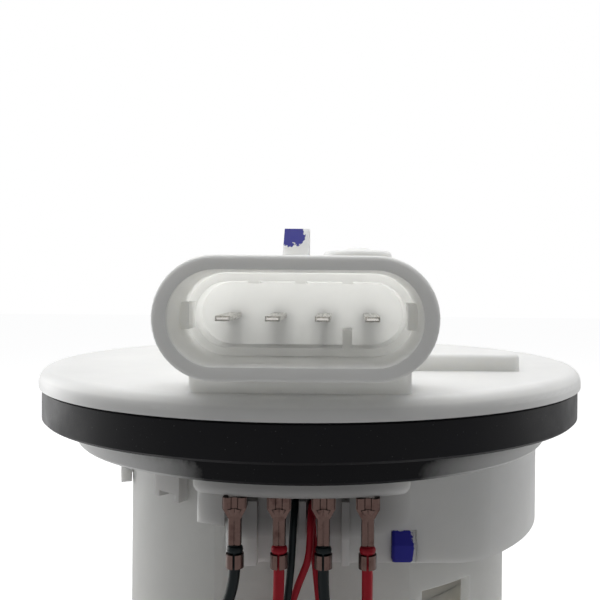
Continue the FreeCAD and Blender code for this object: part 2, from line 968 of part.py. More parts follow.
def thin_lead_black_route():
    return [
        thin_starts()[0],
        Vector(-1.5, front_wall_y - 1.3, -11.6),
        Vector(-1.6, -44.0, -15.0),
        Vector(-1.8, -44.8, -20.6),
        Vector(-2.6, -44.8, -28.6),
        Vector(-4.4, -44.6, -38.0),
        Vector(-8.0, -44.5, -46.8),
        Vector(-14.4, -43.5, -53.4),
        Vector(-22.0, -40.6, -57.8),
        Vector(-29.4, -35.3, -60.6),
        Vector(-35.6, -28.2, -62.6),
        Vector(-40.4, -19.8, -64.2),
        Vector(-43.8, -12.4, -65.6),
        Vector(-45.2, -6.8, -67.6),
        Vector(-45.1, -3.2, -70.0),
        Vector(sender_lead_x, sender_ways[2], -72.8),
        Vector(sender_lead_x, sender_ways[2], plate_top - sender_hole_depth),
    ]


def thin_lead_red_left_route():
    return [
        thin_starts()[1],
        Vector(1.5, front_wall_y - 1.7, -11.6),
        Vector(1.5, -44.7, -14.7),
        Vector(1.3, -45.0, -19.6),
        Vector(-0.6, -44.0, -24.4),
        Vector(-2.2, -43.0, -29.6),
        Vector(-3.0, -42.6, -37.0),
        Vector(-4.6, -42.7, -45.2),
        Vector(-8.4, -43.2, -52.6),
        Vector(-14.8, -43.1, -58.6),
        Vector(-22.4, -40.1, -62.2),
        Vector(-29.6, -34.6, -64.4),
        Vector(-35.9, -27.2, -65.8),
        Vector(-40.8, -18.6, -66.8),
        Vector(-43.9, -12.8, -67.8),
        Vector(-45.2, -8.8, -69.0),
        Vector(-45.1, -6.0, -70.8),
        Vector(sender_lead_x, sender_ways[3], -73.4),
        Vector(sender_lead_x, sender_ways[3], plate_top - sender_hole_depth),
    ]


def thin_lead_red_right_route():
    return [
        thin_starts()[2],
        Vector(1.5, front_wall_y - 0.8, -13.3),
        Vector(1.9, -43.5, -16.2),
        Vector(2.4, -43.5, -21.6),
        Vector(3.1, -43.4, -28.4),
        Vector(4.6, -43.5, -36.8),
        Vector(7.0, -43.6, -45.8),
        Vector(9.0, -43.8, -55.2),
        Vector(10.0, -43.0, -64.8),
        Vector(10.0, -39.6, plug_lead_z + 5.5),
        Vector(10.0, -32.8, plug_lead_z + 0.9),
        Vector(10.0, -24.6, plug_lead_z),
        Vector(10.0, plug_front_y + 1.0, plug_lead_z),
    ]


def thin_starts():
    """Inner ends of the three thin leads, in blind holes behind the flat wall."""
    y = front_wall_y + 3.2
    return (Vector(-1.5, y, -11.6), Vector(1.5, y, -11.6), Vector(1.5, y, -13.3))


def thin_lead_holes():
    """Blind holes, bell-mouthed where the leads turn down out of the wall."""
    size = thin_diameter / 2 + snug / 2
    holes = []
    for start in thin_starts():
        holes.append(Part.makeCylinder(size, 4.0, start - BACK * 4.0, BACK))
        mouth = Vector(start.x, front_wall_y - 0.3, start.z)
        holes.append(Part.makeCone(size + 0.55, size, 1.7, mouth, BACK))
    return holes


# Housing

def flat_cut(y, low, high):
    reach = housing_radius + 20
    return block(housing_x - reach, housing_x + reach, y - reach, y, low - 1, high + 1)


def housing():
    outer = cylinder(housing_radius, housing_bottom, housing_top, housing_x)
    outer = outer.cut(flat_cut(housing_flat_y, housing_bottom, housing_top))
    inner_radius = housing_radius - housing_wall
    inner_flat = housing_flat_y + housing_wall
    inner = cylinder(inner_radius, housing_bottom - 1, housing_top + 1, housing_x)
    inner = inner.cut(flat_cut(inner_flat, housing_bottom - 1, housing_top + 1))
    wall = outer.cut(inner)
    shelf = ring(
        inner_radius + 0.5, inner_radius - shelf_width,
        filter_floor - shelf_thickness, filter_floor, housing_x,
    )
    shelf = shelf.cut(flat_cut(inner_flat, housing_bottom, housing_top))
    pocket = cylinder(pocket_radius + clip_wall + 1.0, housing_bottom, filter_floor + 1, regulator_x)
    shelf = shelf.cut(pocket)
    boss = block(
        plate_outer_x + plate_thick, housing_x - inner_radius - 0.3,
        plate_front_y + 4.5, plate_rear_y, plate_bottom, plate_top,
    )
    boss = boss.cut(cylinder(inner_radius, plate_bottom - 1, plate_top + 1, housing_x))
    body = wall.fuse([shelf, boss, latch()] + housing_hooks() + reservoir_snaps())
    body = body.cut(housing_windows())
    return body.removeSplitter()


def latch():
    """Snap latch that shows through the flat wall of the skirt."""
    face = front_wall_y - latch_proud
    x = latch_x - latch_width / 2
    corners = [
        Vector(x, housing_flat_y + 1.5, latch_bottom),
        Vector(x, face, latch_bottom),
        Vector(x, face, latch_top - latch_slope * 2),
        Vector(x, face + latch_slope, latch_top),
        Vector(x, housing_flat_y + 1.5, latch_top),
    ]
    tooth = Part.Face(Part.makePolygon(corners + corners[:1])).extrude(Vector(latch_width, 0, 0))
    return rounded(tooth, 0.7, lambda box: box.YMax < face + latch_slope + 0.01 and box.ZLength > 0.5)


def housing_hooks():
    return [
        radial_block(
            housing_radius - 1, housing_radius + hook_proud, hook_width,
            hook_z - hook_height / 2, hook_z + hook_height / 2, angle, housing_x,
        )
        for angle in hook_angles
    ]


def reservoir_snaps():
    return [
        radial_block(
            snap_start(angle), snap_start(angle) + snap_reach(angle), snap_width,
            snap_z - snap_height / 2, snap_z + snap_height / 2, angle, housing_x,
        )
        for angle in snap_angles
    ]


def snap_start(angle):
    """The front snap starts from the flat, the others from the round wall."""
    if angle == 270.0:
        return -housing_flat_y - 1
    return housing_radius - 1


def snap_reach(angle):
    return housing_radius + reservoir_gap + reservoir_wall * 0.7 - snap_start(angle)


def housing_windows():
    inner = housing_radius - housing_wall - 1
    outer = housing_radius + 1
    windows = [
        sector(
            outer, inner, filter_floor + window_margin, upper_window_top, start, end, housing_x,
        )
        for start, end in upper_windows
    ]
    windows += [
        sector(
            outer, inner, housing_bottom + lower_window_sill,
            filter_floor - shelf_thickness - window_margin, start, end, housing_x,
        )
        for start, end in lower_windows
    ]
    windows.append(block(
        lead_window_x - lead_window_width / 2, lead_window_x + lead_window_width / 2,
        housing_flat_y - 1, housing_flat_y + housing_wall + 0.01, lead_window_bottom, lead_window_top,
    ))
    windows.append(block(
        -notch_half_width, notch_half_width, housing_flat_y - 1,
        housing_flat_y + housing_wall + 1, -notch_depth, housing_top + 1,
    ))
    windows += [
        radial_block(
            inner - 1, housing_radius + 5, arm_width + 2 * seat_gap,
            lug_low() - seat_gap, lug_high() + seat_gap, angle, housing_x,
        )
        for angle in lug_angles
    ]
    return windows


# Delivery hose between the flange and the filter cover

def delivery_hose():
    """Corrugated in its free middle, plain over both tails."""
    low = filter_top + cover_thickness + hose_end_gap
    high = flange_low - hose_end_gap
    bore = barb_radius + snug
    skin = bore + hose_wall
    crest = skin + hose_wave_height
    hollow = bore + hose_wave_height * 0.75
    wave_low = low + hose_tail
    step = (high - hose_tail - wave_low) / hose_waves
    outer = [(skin, low), (skin, wave_low)]
    inner = [(bore, low), (bore, wave_low)]
    for index in range(hose_waves):
        base = wave_low + index * step
        outer += [(crest, base + step * 0.3), (crest, base + step * 0.7), (skin, base + step)]
        inner += [(hollow, base + step * 0.35), (hollow, base + step * 0.65), (bore, base + step)]
    outer.append((skin, high))
    inner.append((bore, high))
    return turned(outer + inner[::-1], outlet_x, 0.0)


# Filter

def filter_case():
    inner = filter_radius - filter_wall
    floor_top = filter_floor + filter_wall
    cup = ring(filter_radius, inner, filter_floor, filter_top, housing_x)
    floor = cylinder(filter_radius, filter_floor, floor_top, housing_x)
    rim = ring(
        filter_radius + filter_rim_width, filter_radius - 1, filter_floor, floor_top, housing_x,
    )
    rim = rim.cut(flat_cut(housing_flat_y + housing_wall + seat_gap, filter_floor, floor_top))
    socket = cylinder(socket_tube_radius, socket_tube_bottom, floor_top, pump_x)
    pocket = cylinder(pocket_radius, pocket_bottom, floor_top, regulator_x)
    body = joined(cup, floor, rim, socket, pocket)
    port_x = housing_x - inner + 0.9
    holes = [
        cylinder(socket_tube_bore, socket_tube_bottom - 1, filter_floor - 1.5, pump_x),
        cylinder(pump_nipple_radius, filter_floor - 3, floor_top + 1, pump_x),
        cylinder(pocket_bore, pocket_bottom - 1, filter_floor - 0.8, regulator_x),
        cylinder(0.8, filter_floor - 2, floor_top + 1, port_x),
    ]
    return body.cut(holes)


def filter_cover():
    inner = filter_radius - filter_wall - snug
    high = filter_top + cover_thickness
    plate = cylinder(filter_radius, filter_top, high, housing_x)
    plate = rounded(plate, 1.0, lambda box: box.ZMin > high - 0.01)
    lip = ring(inner, inner - cover_lip_wall, filter_top - cover_lip, filter_top + 0.5, housing_x)
    tail = barb(outlet_x, 0.0, high - 0.5, high + barb_length, False)
    ribs = [
        radial_block(
            4.0, filter_radius - cover_thickness, cover_lip_wall, high - 0.5, high + cover_rib_height,
            angle, housing_x,
        )
        for angle in (60, 120, 180, 240, 300)
    ]
    body = joined(plate, lip, tail, *ribs)
    return body.cut(cylinder(barb_bore, filter_top - 1, high + barb_length + 1, outlet_x))


def star(outer, inner, z):
    corners = []
    for index in range(2 * pleat_count):
        radius = outer if index % 2 == 0 else inner
        angle = math.pi * index / pleat_count
        corners.append(Vector(housing_x + radius * math.cos(angle), radius * math.sin(angle), z))
    return Part.makePolygon(corners + corners[:1])


def element_low():
    return filter_floor + filter_wall + end_cap_thickness


def element_high():
    return filter_top - plenum_height - end_cap_thickness


def filter_element():
    low = element_low()
    height = Vector(0, 0, element_high() - low)
    outside = Part.Face(star(pleat_outer, pleat_inner + pleat_band, low)).extrude(height)
    inside = Part.Face(star(pleat_outer - pleat_band, pleat_inner, low)).extrude(height)
    return outside.cut(inside)


def filter_end_caps():
    """Ring under the pleats and closed disc on top of them."""
    outer = pleat_outer + end_cap_margin
    inner = pleat_inner - end_cap_margin
    lower = ring(outer, inner, filter_floor + filter_wall, element_low(), housing_x)
    upper = cylinder(outer, element_high(), element_high() + end_cap_thickness, housing_x)
    return Part.makeCompound([lower, upper])


# Pressure regulator

def regulator_body():
    low = pocket_bottom - regulator_lip
    can = cylinder(regulator_radius, low, regulator_top, regulator_x)
    can = rounded(can, 0.8, lambda box: box.ZMin > regulator_top - 0.01)
    lip = cylinder(pocket_radius - 0.4, low, pocket_bottom, regulator_x)
    nipple = cylinder(regulator_nipple, low - regulator_nipple_length, low + 0.5, regulator_x)
    body = joined(can, lip, nipple)
    hollow = cylinder(
        regulator_radius - regulator_wall, low + regulator_wall, regulator_top - regulator_wall,
        regulator_x,
    )
    bore = cylinder(1.3, low - regulator_nipple_length - 1, low + 2, regulator_x)
    inlet = cylinder(2.4, regulator_top - 2, regulator_top + 1, regulator_x)
    return body.cut([hollow, bore, inlet])


def regulator_valve_top():
    return regulator_top - regulator_wall - snug


def regulator_valve():
    top = regulator_valve_top()
    low = top - regulator_disc_height
    disc = cylinder(regulator_radius - regulator_wall - 0.6, low, top, regulator_x)
    nose = cylinder(regulator_nose, low - 1.4, low, regulator_x)
    return joined(disc, nose)


def regulator_spring():
    low = pocket_bottom - regulator_lip + regulator_wall + 0.02
    high = regulator_valve_top() - regulator_disc_height - 0.02
    return coil_spring(2 * regulator_nose, regulator_wire, 4, low, high, regulator_x, 0)


def regulator_seals():
    middle = (pocket_bore + regulator_radius) / 2
    heights = (regulator_top - 3.0, pocket_bottom + 3.0)
    return Part.makeCompound([torus(middle, ring_seal_radius, regulator_x, 0, z) for z in heights])


def regulator_clip():
    """Sheet cup with windows that snaps over the pocket."""
    inner = pocket_radius + snug
    low = pocket_bottom - regulator_lip - clip_wall
    wall = ring(inner + clip_wall, inner, low, pocket_bottom + clip_height, regulator_x)
    floor = ring(inner + 0.2, regulator_nipple + 2.5, low, low + clip_wall, regulator_x)
    body = joined(wall, floor)
    for angle in (0, 90, 180, 270):
        body = body.cut(radial_block(
            inner - 2, inner + 4, 7.0, pocket_bottom, pocket_bottom + clip_window, angle, regulator_x,
        ))
    return body


# Pump

def plate_top_z():
    return pump_bottom + crimp_width / 2 + inlet_cover_thickness + impeller_room() + plate_thickness


def impeller_room():
    return impeller_thickness + 2 * impeller_play


def inlet_cover_low():
    return pump_bottom + crimp_width / 2


def inlet_cover_high():
    return inlet_cover_low() + inlet_cover_thickness


def pump_case():
    """Steel tube with both ends rolled in."""
    inner = pump_radius - pump_wall
    lip = crimp_width
    return turned([
        (inner - lip, pump_bottom),
        (pump_radius - case_bevel, pump_bottom),
        (pump_radius, pump_bottom + case_bevel),
        (pump_radius, pump_top - case_bevel),
        (pump_radius - case_bevel, pump_top),
        (inner - lip, pump_top),
        (inner - lip, pump_top - lip / 2),
        (inner, pump_top - lip / 2),
        (inner, pump_bottom + lip / 2),
        (inner - lip, pump_bottom + lip / 2),
    ], pump_x, 0.0)


def pump_inlet_cover():
    low = inlet_cover_low()
    high = inlet_cover_high()
    tip = low - inlet_length
    circle = groove_circle()
    plate = cylinder(pump_radius - pump_wall - snug, low, high, pump_x)
    nipple = cylinder(inlet_radius, tip, low + 0.5, pump_x, inlet_y)
    body = joined(plate, nipple)
    groove = torus(circle, groove_radius, pump_x, 0.0, high)
    bore = cylinder(inlet_bore, tip - 1, high - 1.5, pump_x, inlet_y)
    port = block(
        pump_x - 2.2, pump_x + 2.2, -circle - 1.1, inlet_y, high - 2.4, high + 1,
    )
    return body.cut([groove, bore, port])


def groove_circle():
    return impeller_radius - vane_rim - vane_depth / 2


def impeller_low():
    return inlet_cover_high() + impeller_play


def impeller():
    low = impeller_low()
    high = low + impeller_thickness
    wheel = cylinder(impeller_radius, low, high, pump_x)
    wheel = wheel.cut(cylinder(shaft_radius, low - 1, high + 1, pump_x))
    pockets = [
        radial_block(
            impeller_radius - vane_rim - vane_depth, impeller_radius - vane_rim, vane_width,
            low - 1, high + 1, 360.0 * index / vane_count, pump_x,
        )
        for index in range(vane_count)
    ]
    return wheel.cut(pockets)


def chamber_plate():
    """Casing over the impeller with the lower bearing's seat."""
    low = inlet_cover_high()
    high = plate_top_z()
    body = cylinder(pump_radius - pump_wall - snug, low, high, pump_x)
    well = cylinder(impeller_radius + seat_gap, low - 1, low + impeller_room(), pump_x)
    seat = cylinder(bearing_radius, low + impeller_room() + 0.8, high + 1, pump_x)
    shaft_hole = cylinder(shaft_radius + seat_gap, low, high, pump_x)
    port = cylinder(vane_width, low, high + 1, pump_x + groove_circle())
    return body.cut([well, seat, shaft_hole, port])


def lower_bearing():
    high = plate_top_z()
    return ring(bearing_radius, shaft_radius + running_fit, high - plate_thickness + 0.8, high, pump_x)


def endbell_low():
    return pump_top - endbell_depth


def upper_bearing():
    low = endbell_low() + 1.0
    return ring(bearing_radius, shaft_radius + running_fit, low, low + bearing_height, pump_x)


def pump_shaft():
    return cylinder(shaft_radius, impeller_low(), endbell_low() + bearing_height + 0.6, pump_x)


def core_low():
    return plate_top_z() + winding_height + 1.4


def commutator_high():
    return endbell_low() - 1.0


def core_high():
    return commutator_high() - commutator_height - winding_height - snug


def armature_core():
    low = core_low()
    high = core_high()
    body = ring(core_radius, shaft_radius, low, high, pump_x)
    cuts = []
    for index in range(core_slots):
        angle = 360.0 * index / core_slots
        slot = cylinder(slot_radius, low - 1, high + 1, pump_x + slot_centre)
        cuts.append(slot.rotate(Vector(pump_x, 0, 0), TOP, angle))
        cuts.append(radial_block(
            slot_centre, core_radius + 1, slot_mouth, low - 1, high + 1, angle, pump_x,
        ))
    return body.cut(cuts)


def armature_windings():
    """Copper in the slots, joined by the end turns."""
    low = core_low()
    high = core_high()
    inner = slot_centre - slot_radius
    outer = slot_centre + slot_radius
    pieces = [
        turned([
            (inner, high), (outer, high), (outer, high + winding_height * 0.5),
            (outer - 1.2, high + winding_height), (inner + 1.0, high + winding_height),
            (inner, high + winding_height * 0.6),
        ], pump_x, 0.0),
        turned([
            (inner, low), (inner, low - winding_height * 0.6), (inner + 1.0, low - winding_height),
            (outer - 1.2, low - winding_height), (outer, low - winding_height * 0.5), (outer, low),
        ], pump_x, 0.0),
    ]
    for index in range(core_slots):
        rod = cylinder(slot_radius - snug, low - 0.5, high + 0.5, pump_x + slot_centre)
        pieces.append(rod.rotate(Vector(pump_x, 0, 0), TOP, 360.0 * index / core_slots))
    return joined(*pieces)


def commutator():
    low = commutator_high() - commutator_height
    high = commutator_high()
    body = ring(commutator_radius, shaft_radius, low, high, pump_x)
    slits = [
        radial_block(
            shaft_radius + 1.0, commutator_radius + 1, 0.5, high - 2.0, high + 1,
            360.0 * (index + 0.5) / core_slots, pump_x,
        )
        for index in range(core_slots)
    ]
    return body.cut(slits)


def magnets():
    low = plate_top_z() + 0.6
    high = core_high() + 2.0
    half = magnet_gap_angle / 2
    return Part.makeCompound([
        sector(magnet_outer, magnet_inner, low, high, side + half, side + 180 - half, pump_x)
        for side in (0, 180)
    ])


def brush_high():
    return commutator_high() + brush_length


def brush(side):
    y = side * brush_offset
    half = brush_size / 2
    return block(pump_x - half, pump_x + half, y - half, y + half, commutator_high(), brush_high())


def brush_spring(side):
    high = brush_high() + brush_spring_length
    return coil_spring(1.2, 0.4, 5, brush_high() + 0.01, high, pump_x, side * brush_offset)


def valve_seat_z():
    return endbell_low() + bearing_height + 3.6


def pump_endbell():
    """Outlet cover with the nipple, the upper bearing, brush wells and check valve seat."""
    low = endbell_low()
    inner = pump_radius - pump_wall - snug
    rolled = pump_radius - pump_wall - crimp_width - snug
    body = joined(
        cylinder(inner, low, pump_top - crimp_width / 2, pump_x),
        cylinder(rolled, low, endbell_top, pump_x),
        cylinder(pump_nipple_radius, low + 1, pump_nipple_top, pump_x),
    )
    well = brush_size / 2 + 0.1
    spring_top = brush_high() + brush_spring_length
    cuts = [
        cylinder(bearing_radius, low - 1, low + 1.0 + bearing_height, pump_x),
        cylinder(valve_bore, valve_seat_z(), pump_nipple_top - 1.6, pump_x),
        cylinder(1.6, low, valve_seat_z() + 1, pump_x),
        cylinder(1.8, pump_nipple_top - 3, pump_nipple_top + 1, pump_x),
        cylinder(1.4, low - 1, valve_seat_z() - 0.8, pump_x + 6.0),
        block(pump_x, pump_x + 6.0, -1.0, 1.0, valve_seat_z() - 2.4, valve_seat_z() - 0.8),
    ]
    for side in (-1, 1):
        y = side * brush_offset
        cuts.append(block(pump_x - well, pump_x + well, y - well, y + well, low - 1, spring_top))
    for x in plug_ways()[::2]:
        cuts.append(pump_terminal(x))
    return body.cut(cuts)


def check_valve():
    """Poppet that rests on the seat in the nipple."""
    low = valve_seat_z()
    head = Part.makeCone(1.7, valve_radius - 0.2, 1.4, Vector(pump_x, 0, low))
    body = cylinder(valve_radius - 0.2, low + 1.4, low + 3.4, pump_x)
    stem = cylinder(0.9, low + 3.4, low + 6.4, pump_x)
    return joined(head, body, stem)


def check_valve_spring():
    return coil_spring(1.7, 0.5, 5, valve_seat_z() + 3.42, pump_nipple_top - 1.62, pump_x, 0)


def plug_ways():
    return (7.5, 10.0, 12.5)


def pump_terminal(x):
    return block(x - 0.9, x + 0.9, -13.2, -12.4, endbell_top - 4.0, endbell_top + 6.0)


def pump_terminals():
    return Part.makeCompound([pump_terminal(x) for x in plug_ways()[::2]])


def pump_plug():
    """Push-on plug that carries the pump's leads."""
    body = rounded_block(
        pump_x - plug_half_width, pump_x + plug_half_width, plug_front_y, plug_back_y,
        plug_low, plug_high, 1.0,
    )
    grip = [
        block(x - 1.0, x + 1.0, -13.3, -12.3, plug_low - 1, endbell_top + 6.2)
        for x in plug_ways()[::2]
    ]
    sizes = (lead_diameter, thin_diameter, lead_diameter)
    holes = [
        Part.makeCylinder(size / 2 + snug / 2, 1.2, Vector(x, plug_front_y - 0.1, plug_lead_z), BACK)
        for x, size in zip(plug_ways(), sizes)
    ]
    return body.cut(grip + holes)


def pump_seal():
    """Rubber sleeve between the pump's nipple and the filter's socket."""
    bore = pump_nipple_radius + snug
    return turned([
        (bore, socket_tube_bottom - 1.6),
        (socket_tube_radius - 0.6, socket_tube_bottom - 1.6),
        (socket_tube_radius - 0.6, socket_tube_bottom),
        (socket_tube_bore - snug, socket_tube_bottom),
        (socket_tube_bore - snug, filter_floor - 2.5),
        (bore, filter_floor - 2.5),
    ], pump_x, 0.0)


# Pump holder and isolator

def isolator_outer():
    return pump_radius + snug + isolator_wall


def holder_inner():
    return isolator_outer() + snug


def isolator_low():
    return pump_bottom - isolator_lip


def lug_low():
    return housing_bottom + 1.0 + seat_gap


def lug_high():
    return housing_bottom + 1.0 + holder_ring_height - 1.4


def pump_isolator():
    outer = isolator_outer()
    bore = pump_radius + snug
    hole = pump_radius - pump_wall - crimp_width
    return turned([
        (hole, isolator_low()),
        (outer, isolator_low()),
        (outer, pump_bottom + isolator_height),
        (bore, pump_bottom + isolator_height),
        (bore, pump_bottom),
        (hole, pump_bottom),
    ], pump_x, 0.0)


def pump_holder():
    """Ring clipped in the housing, three arms and the cup under the pump."""
    ring_low = housing_bottom + 1.0
    ring_high = ring_low + holder_ring_height
    outer = housing_radius - housing_wall - seat_gap
    collar = ring(outer, holder_ring_inner, ring_low, ring_high, housing_x)
    limit = cylinder(outer, ring_low - 1, ring_high + 1, housing_x)
    limit = limit.cut(flat_cut(housing_flat_y + housing_wall + seat_gap, ring_low, ring_high))
    cup_low = isolator_low() - holder_floor
    cup_outer = holder_inner() + holder_outer_wall
    pieces = []
    for angle in arm_angles:
        spoke = radial_block(
            holder_inner() + 0.4, 2 * housing_radius, arm_width, ring_low, ring_high, angle, pump_x,
        )
        pieces.append(spoke.common(limit))
        pieces.append(sector(
            cup_outer, holder_inner() + 0.4, cup_low, ring_high,
            angle - leg_half_angle, angle + leg_half_angle, pump_x,
        ))
    lugs = [
        radial_block(
            outer - 2, housing_radius - 0.3, arm_width, lug_low(), lug_high(), angle, housing_x,
        )
        for angle in lug_angles
    ]
    cup = ring(cup_outer, holder_inner(), cup_low, pump_bottom + holder_cup_height, pump_x)
    floor = ring(cup_outer, pump_radius - pump_wall - crimp_width, cup_low, isolator_low(), pump_x)
    return joined(collar.common(limit), cup, floor, *(pieces + lugs))


# Strainer

def strainer_neck():
    """Tube pushed on the pump's inlet, with a flange that the mesh is welded to."""
    bore = inlet_radius + snug
    outer = bore + neck_wall
    rim = outer + neck_flange
    return turned([
        (inlet_bore, strainer_high),
        (rim, strainer_high),
        (rim, strainer_high + neck_flange_height),
        (outer, strainer_high + neck_flange_height),
        (outer, inlet_cover_low() - seat_gap),
        (bore, inlet_cover_low() - seat_gap),
        (bore, inlet_cover_low() - inlet_length - snug),
        (inlet_bore, inlet_cover_low() - inlet_length - snug),
    ], pump_x, inlet_y)


def strainer_pad():
    pad = rounded_block(
        strainer_left, strainer_right, -strainer_half_depth, strainer_half_depth,
        strainer_low, strainer_high, strainer_corner,
    )
    return rounded(pad, strainer_round, lambda box: box.ZLength < 0.01)


# Reservoir

def reservoir_inner():
    return housing_radius + reservoir_gap


def floor_low():
    return reservoir_bottom + reservoir_feet


def floor_high():
    return floor_low() + reservoir_floor


def reservoir():
    inner = reservoir_inner()
    outer = inner + reservoir_wall
    cup = cylinder(outer, floor_low(), reservoir_top, housing_x)
    cup = rounded(cup, cup_round, lambda box: box.ZMax < floor_low() + 0.01)
    cup = cup.cut(cylinder(inner, floor_high(), reservoir_top + 1, housing_x))
    rim = ring(outer + cup_rim, inner, reservoir_top - 2.0, reservoir_top, housing_x)
    feet = []
    for index in range(foot_count):
        foot = cylinder(foot_radius, reservoir_bottom, floor_low() + 1, housing_x + foot_circle)
        feet.append(foot.rotate(Vector(housing_x, 0, 0), TOP, 360.0 * index / foot_count))
    ribs = []
    for angle in cup_ribs:
        ribs.append(radial_block(
            outer - 0.6, outer + cup_rim, cup_rib_width,
            floor_low() + 2 * cup_round, reservoir_top - cup_overlap, angle, housing_x,
        ))
    body = joined(cup, rim, *(feet + ribs))
    holes = [
        radial_block(
            inner - 1, outer + 5, snap_width + 2 * seat_gap,
            snap_z - snap_height / 2 - seat_gap, snap_z + snap_height / 2 + seat_gap, angle, housing_x,
        )
        for angle in snap_angles
    ]
    stem = foot_valve_stem + 0.25
    holes.append(cylinder(stem, floor_low() - 1, floor_high() + 1, foot_valve_x, foot_valve_y))
    for index in range(6):
        port = cylinder(
            foot_port_radius, floor_low() - 1, floor_high() + 1,
            foot_valve_x + foot_port_circle, foot_valve_y,
        )
        holes.append(port.rotate(Vector(foot_valve_x, foot_valve_y, 0), TOP, 60 * index))
    slot_low = plate_bottom - 1.0
    holes.append(block(
        housing_x - outer - 3, housing_x - inner + 3, plate_front_y - 1, plate_rear_y + 1,
        slot_low, reservoir_top + 1,
    ))
    return body.cut(holes)


def foot_valve():
    """Umbrella valve: its disc covers the floor ports and its stem hangs through the floor."""
    x = foot_valve_x
    y = foot_valve_y
    stop_high = floor_low() - foot_valve_stroke - 0.2
    return turned([
        (0, stop_high - 1.2),
        (foot_valve_stem, stop_high - 1.2),
        (foot_valve_stem + 0.9, stop_high),
        (foot_valve_stem, stop_high),
        (foot_valve_stem, floor_high()),
        (foot_valve_radius, floor_high()),
        (foot_valve_radius, floor_high() + foot_valve_disc * 0.5),
        (foot_valve_stem, floor_high() + foot_valve_disc + 0.6),
        (0, floor_high() + foot_valve_disc + 0.6),
    ], x, y)


def jet_axis():
    return floor_high() + jet_rise


def riser_top():
    return jet_axis() + riser_height


def jet_pump():
    """Mixing tube along the floor with its riser and foot."""
    x = regulator_x
    start = Vector(x, -jet_half_length, jet_axis())
    mixing = Part.makeCylinder(jet_radius, 2 * jet_half_length, start, BACK)
    riser = cylinder(jet_radius - 0.4, jet_axis(), riser_top(), x)
    tail = cylinder(regulator_nipple, riser_top() - 1, riser_top() + jet_tail, x)
    foot = block(
        x - jet_radius - 1, x + jet_radius + 1, -jet_foot_half, jet_foot_half, floor_high(), jet_axis() - 1,
    )
    body = joined(mixing, riser, tail, foot)
    bore = Part.makeCylinder(jet_bore, 2 * jet_half_length + 2, start - BACK, BACK)
    nozzle = cylinder(jet_nozzle, jet_axis(), riser_top() + jet_tail + 1, x)
    return body.cut([bore, nozzle])


def jet_tube():
    low = riser_top() + 0.1
    high = pocket_bottom - regulator_lip - clip_wall - 0.2
    return ring(jet_tube_radius, regulator_nipple + snug, low, high, regulator_x)


# Level sender

def pivot():
    return Vector(plate_outer_x, 0, pivot_z)


def swung(shape, angle):
    """Turn a piece drawn along +Y to an angle of the float arm."""
    return shape.rotate(pivot(), RIGHT, angle)


def sender_body():
    plate = block(
        plate_outer_x, plate_outer_x + plate_thick, plate_front_y, plate_rear_y,
        plate_bottom, plate_top,
    )
    plate = rounded(plate, plate_corner, lambda box: box.XLength > plate_thick - 0.01)
    clear = holder_block_width / 2 + stop_radius + seat_gap
    stops = []
    for side, angle in ((-1, arm_low_angle), (1, arm_low_angle + arm_swing)):
        peg = Part.makeCylinder(
            stop_radius, plate_outer_x - hub_outer_x + 1.0,
            Vector(hub_outer_x - 0.5, stop_circle, pivot_z + side * clear), RIGHT,
        )
        stops.append(swung(peg, angle))
    boss = Part.makeCylinder(3.0, 0.6, Vector(plate_outer_x - 0.6, 0, pivot_z), RIGHT)
    body = joined(plate, boss, *stops)
    pin = arm_wire / 2 + running_fit
    holes = [Part.makeCylinder(pin, 10, Vector(plate_outer_x - 5, 0, pivot_z), RIGHT)]
    sizes = (lead_diameter, lead_diameter, thin_diameter, thin_diameter)
    for y, size in zip(sender_ways, sizes):
        low = plate_top - sender_hole_depth - snug
        holes.append(cylinder(size / 2 + snug / 2, low, plate_top + 1, sender_lead_x, y))
    return body.cut(holes)


def resistor_card():
    face = pivot() - RIGHT * card_thickness
    arc = Part.makeCylinder(card_outer, card_thickness, face, RIGHT, 90)
    arc = arc.cut(Part.makeCylinder(card_inner, 5, face - RIGHT, RIGHT))
    middle = arm_low_angle + arm_swing / 2 + 180
    start = arc.BoundBox.Center - pivot()
    now = math.degrees(math.atan2(start.z, start.y))
    return arc.rotate(pivot(), RIGHT, middle - now)


def arm_points():
    """Pivot pin, long leg and the leg that carries the float, drawn along +Y."""
    x = hub_outer_x - arm_wire / 2
    return [
        Vector(plate_outer_x + plate_thick - 0.4, 0, pivot_z),
        Vector(x, 0, pivot_z),
        Vector(x, arm_length, pivot_z),
        Vector(x + end_leg, arm_length, pivot_z),
    ]


def float_arm():
    return swung(tube(arm_points(), arm_wire, arm_bend), arm_low_angle)


def sender_hub():
    """Rotating hub with the block that grips the arm and a seat for the wiper."""
    disc = Part.makeCylinder(hub_radius, hub_thickness, Vector(hub_outer_x, 0, pivot_z), RIGHT)
    half = holder_block_width / 2
    holder = block(
        hub_outer_x - arm_wire * 0.75, hub_inner_x - 0.2,
        holder_block_start, holder_block_end, pivot_z - half, pivot_z + half,
    )
    tail = block(
        hub_outer_x, hub_inner_x - 0.2, -holder_block_end, 0, pivot_z - half, pivot_z + half,
    )
    body = joined(disc, holder, tail)
    body = body.cut(tube(arm_points(), arm_wire + 2 * snug, arm_bend))
    groove = block(
        hub_outer_x - 5, hub_outer_x - arm_wire / 2, 0, holder_block_end + 1,
        pivot_z - arm_wire / 2, pivot_z + arm_wire / 2,
    )
    return swung(body.cut(groove), arm_low_angle)


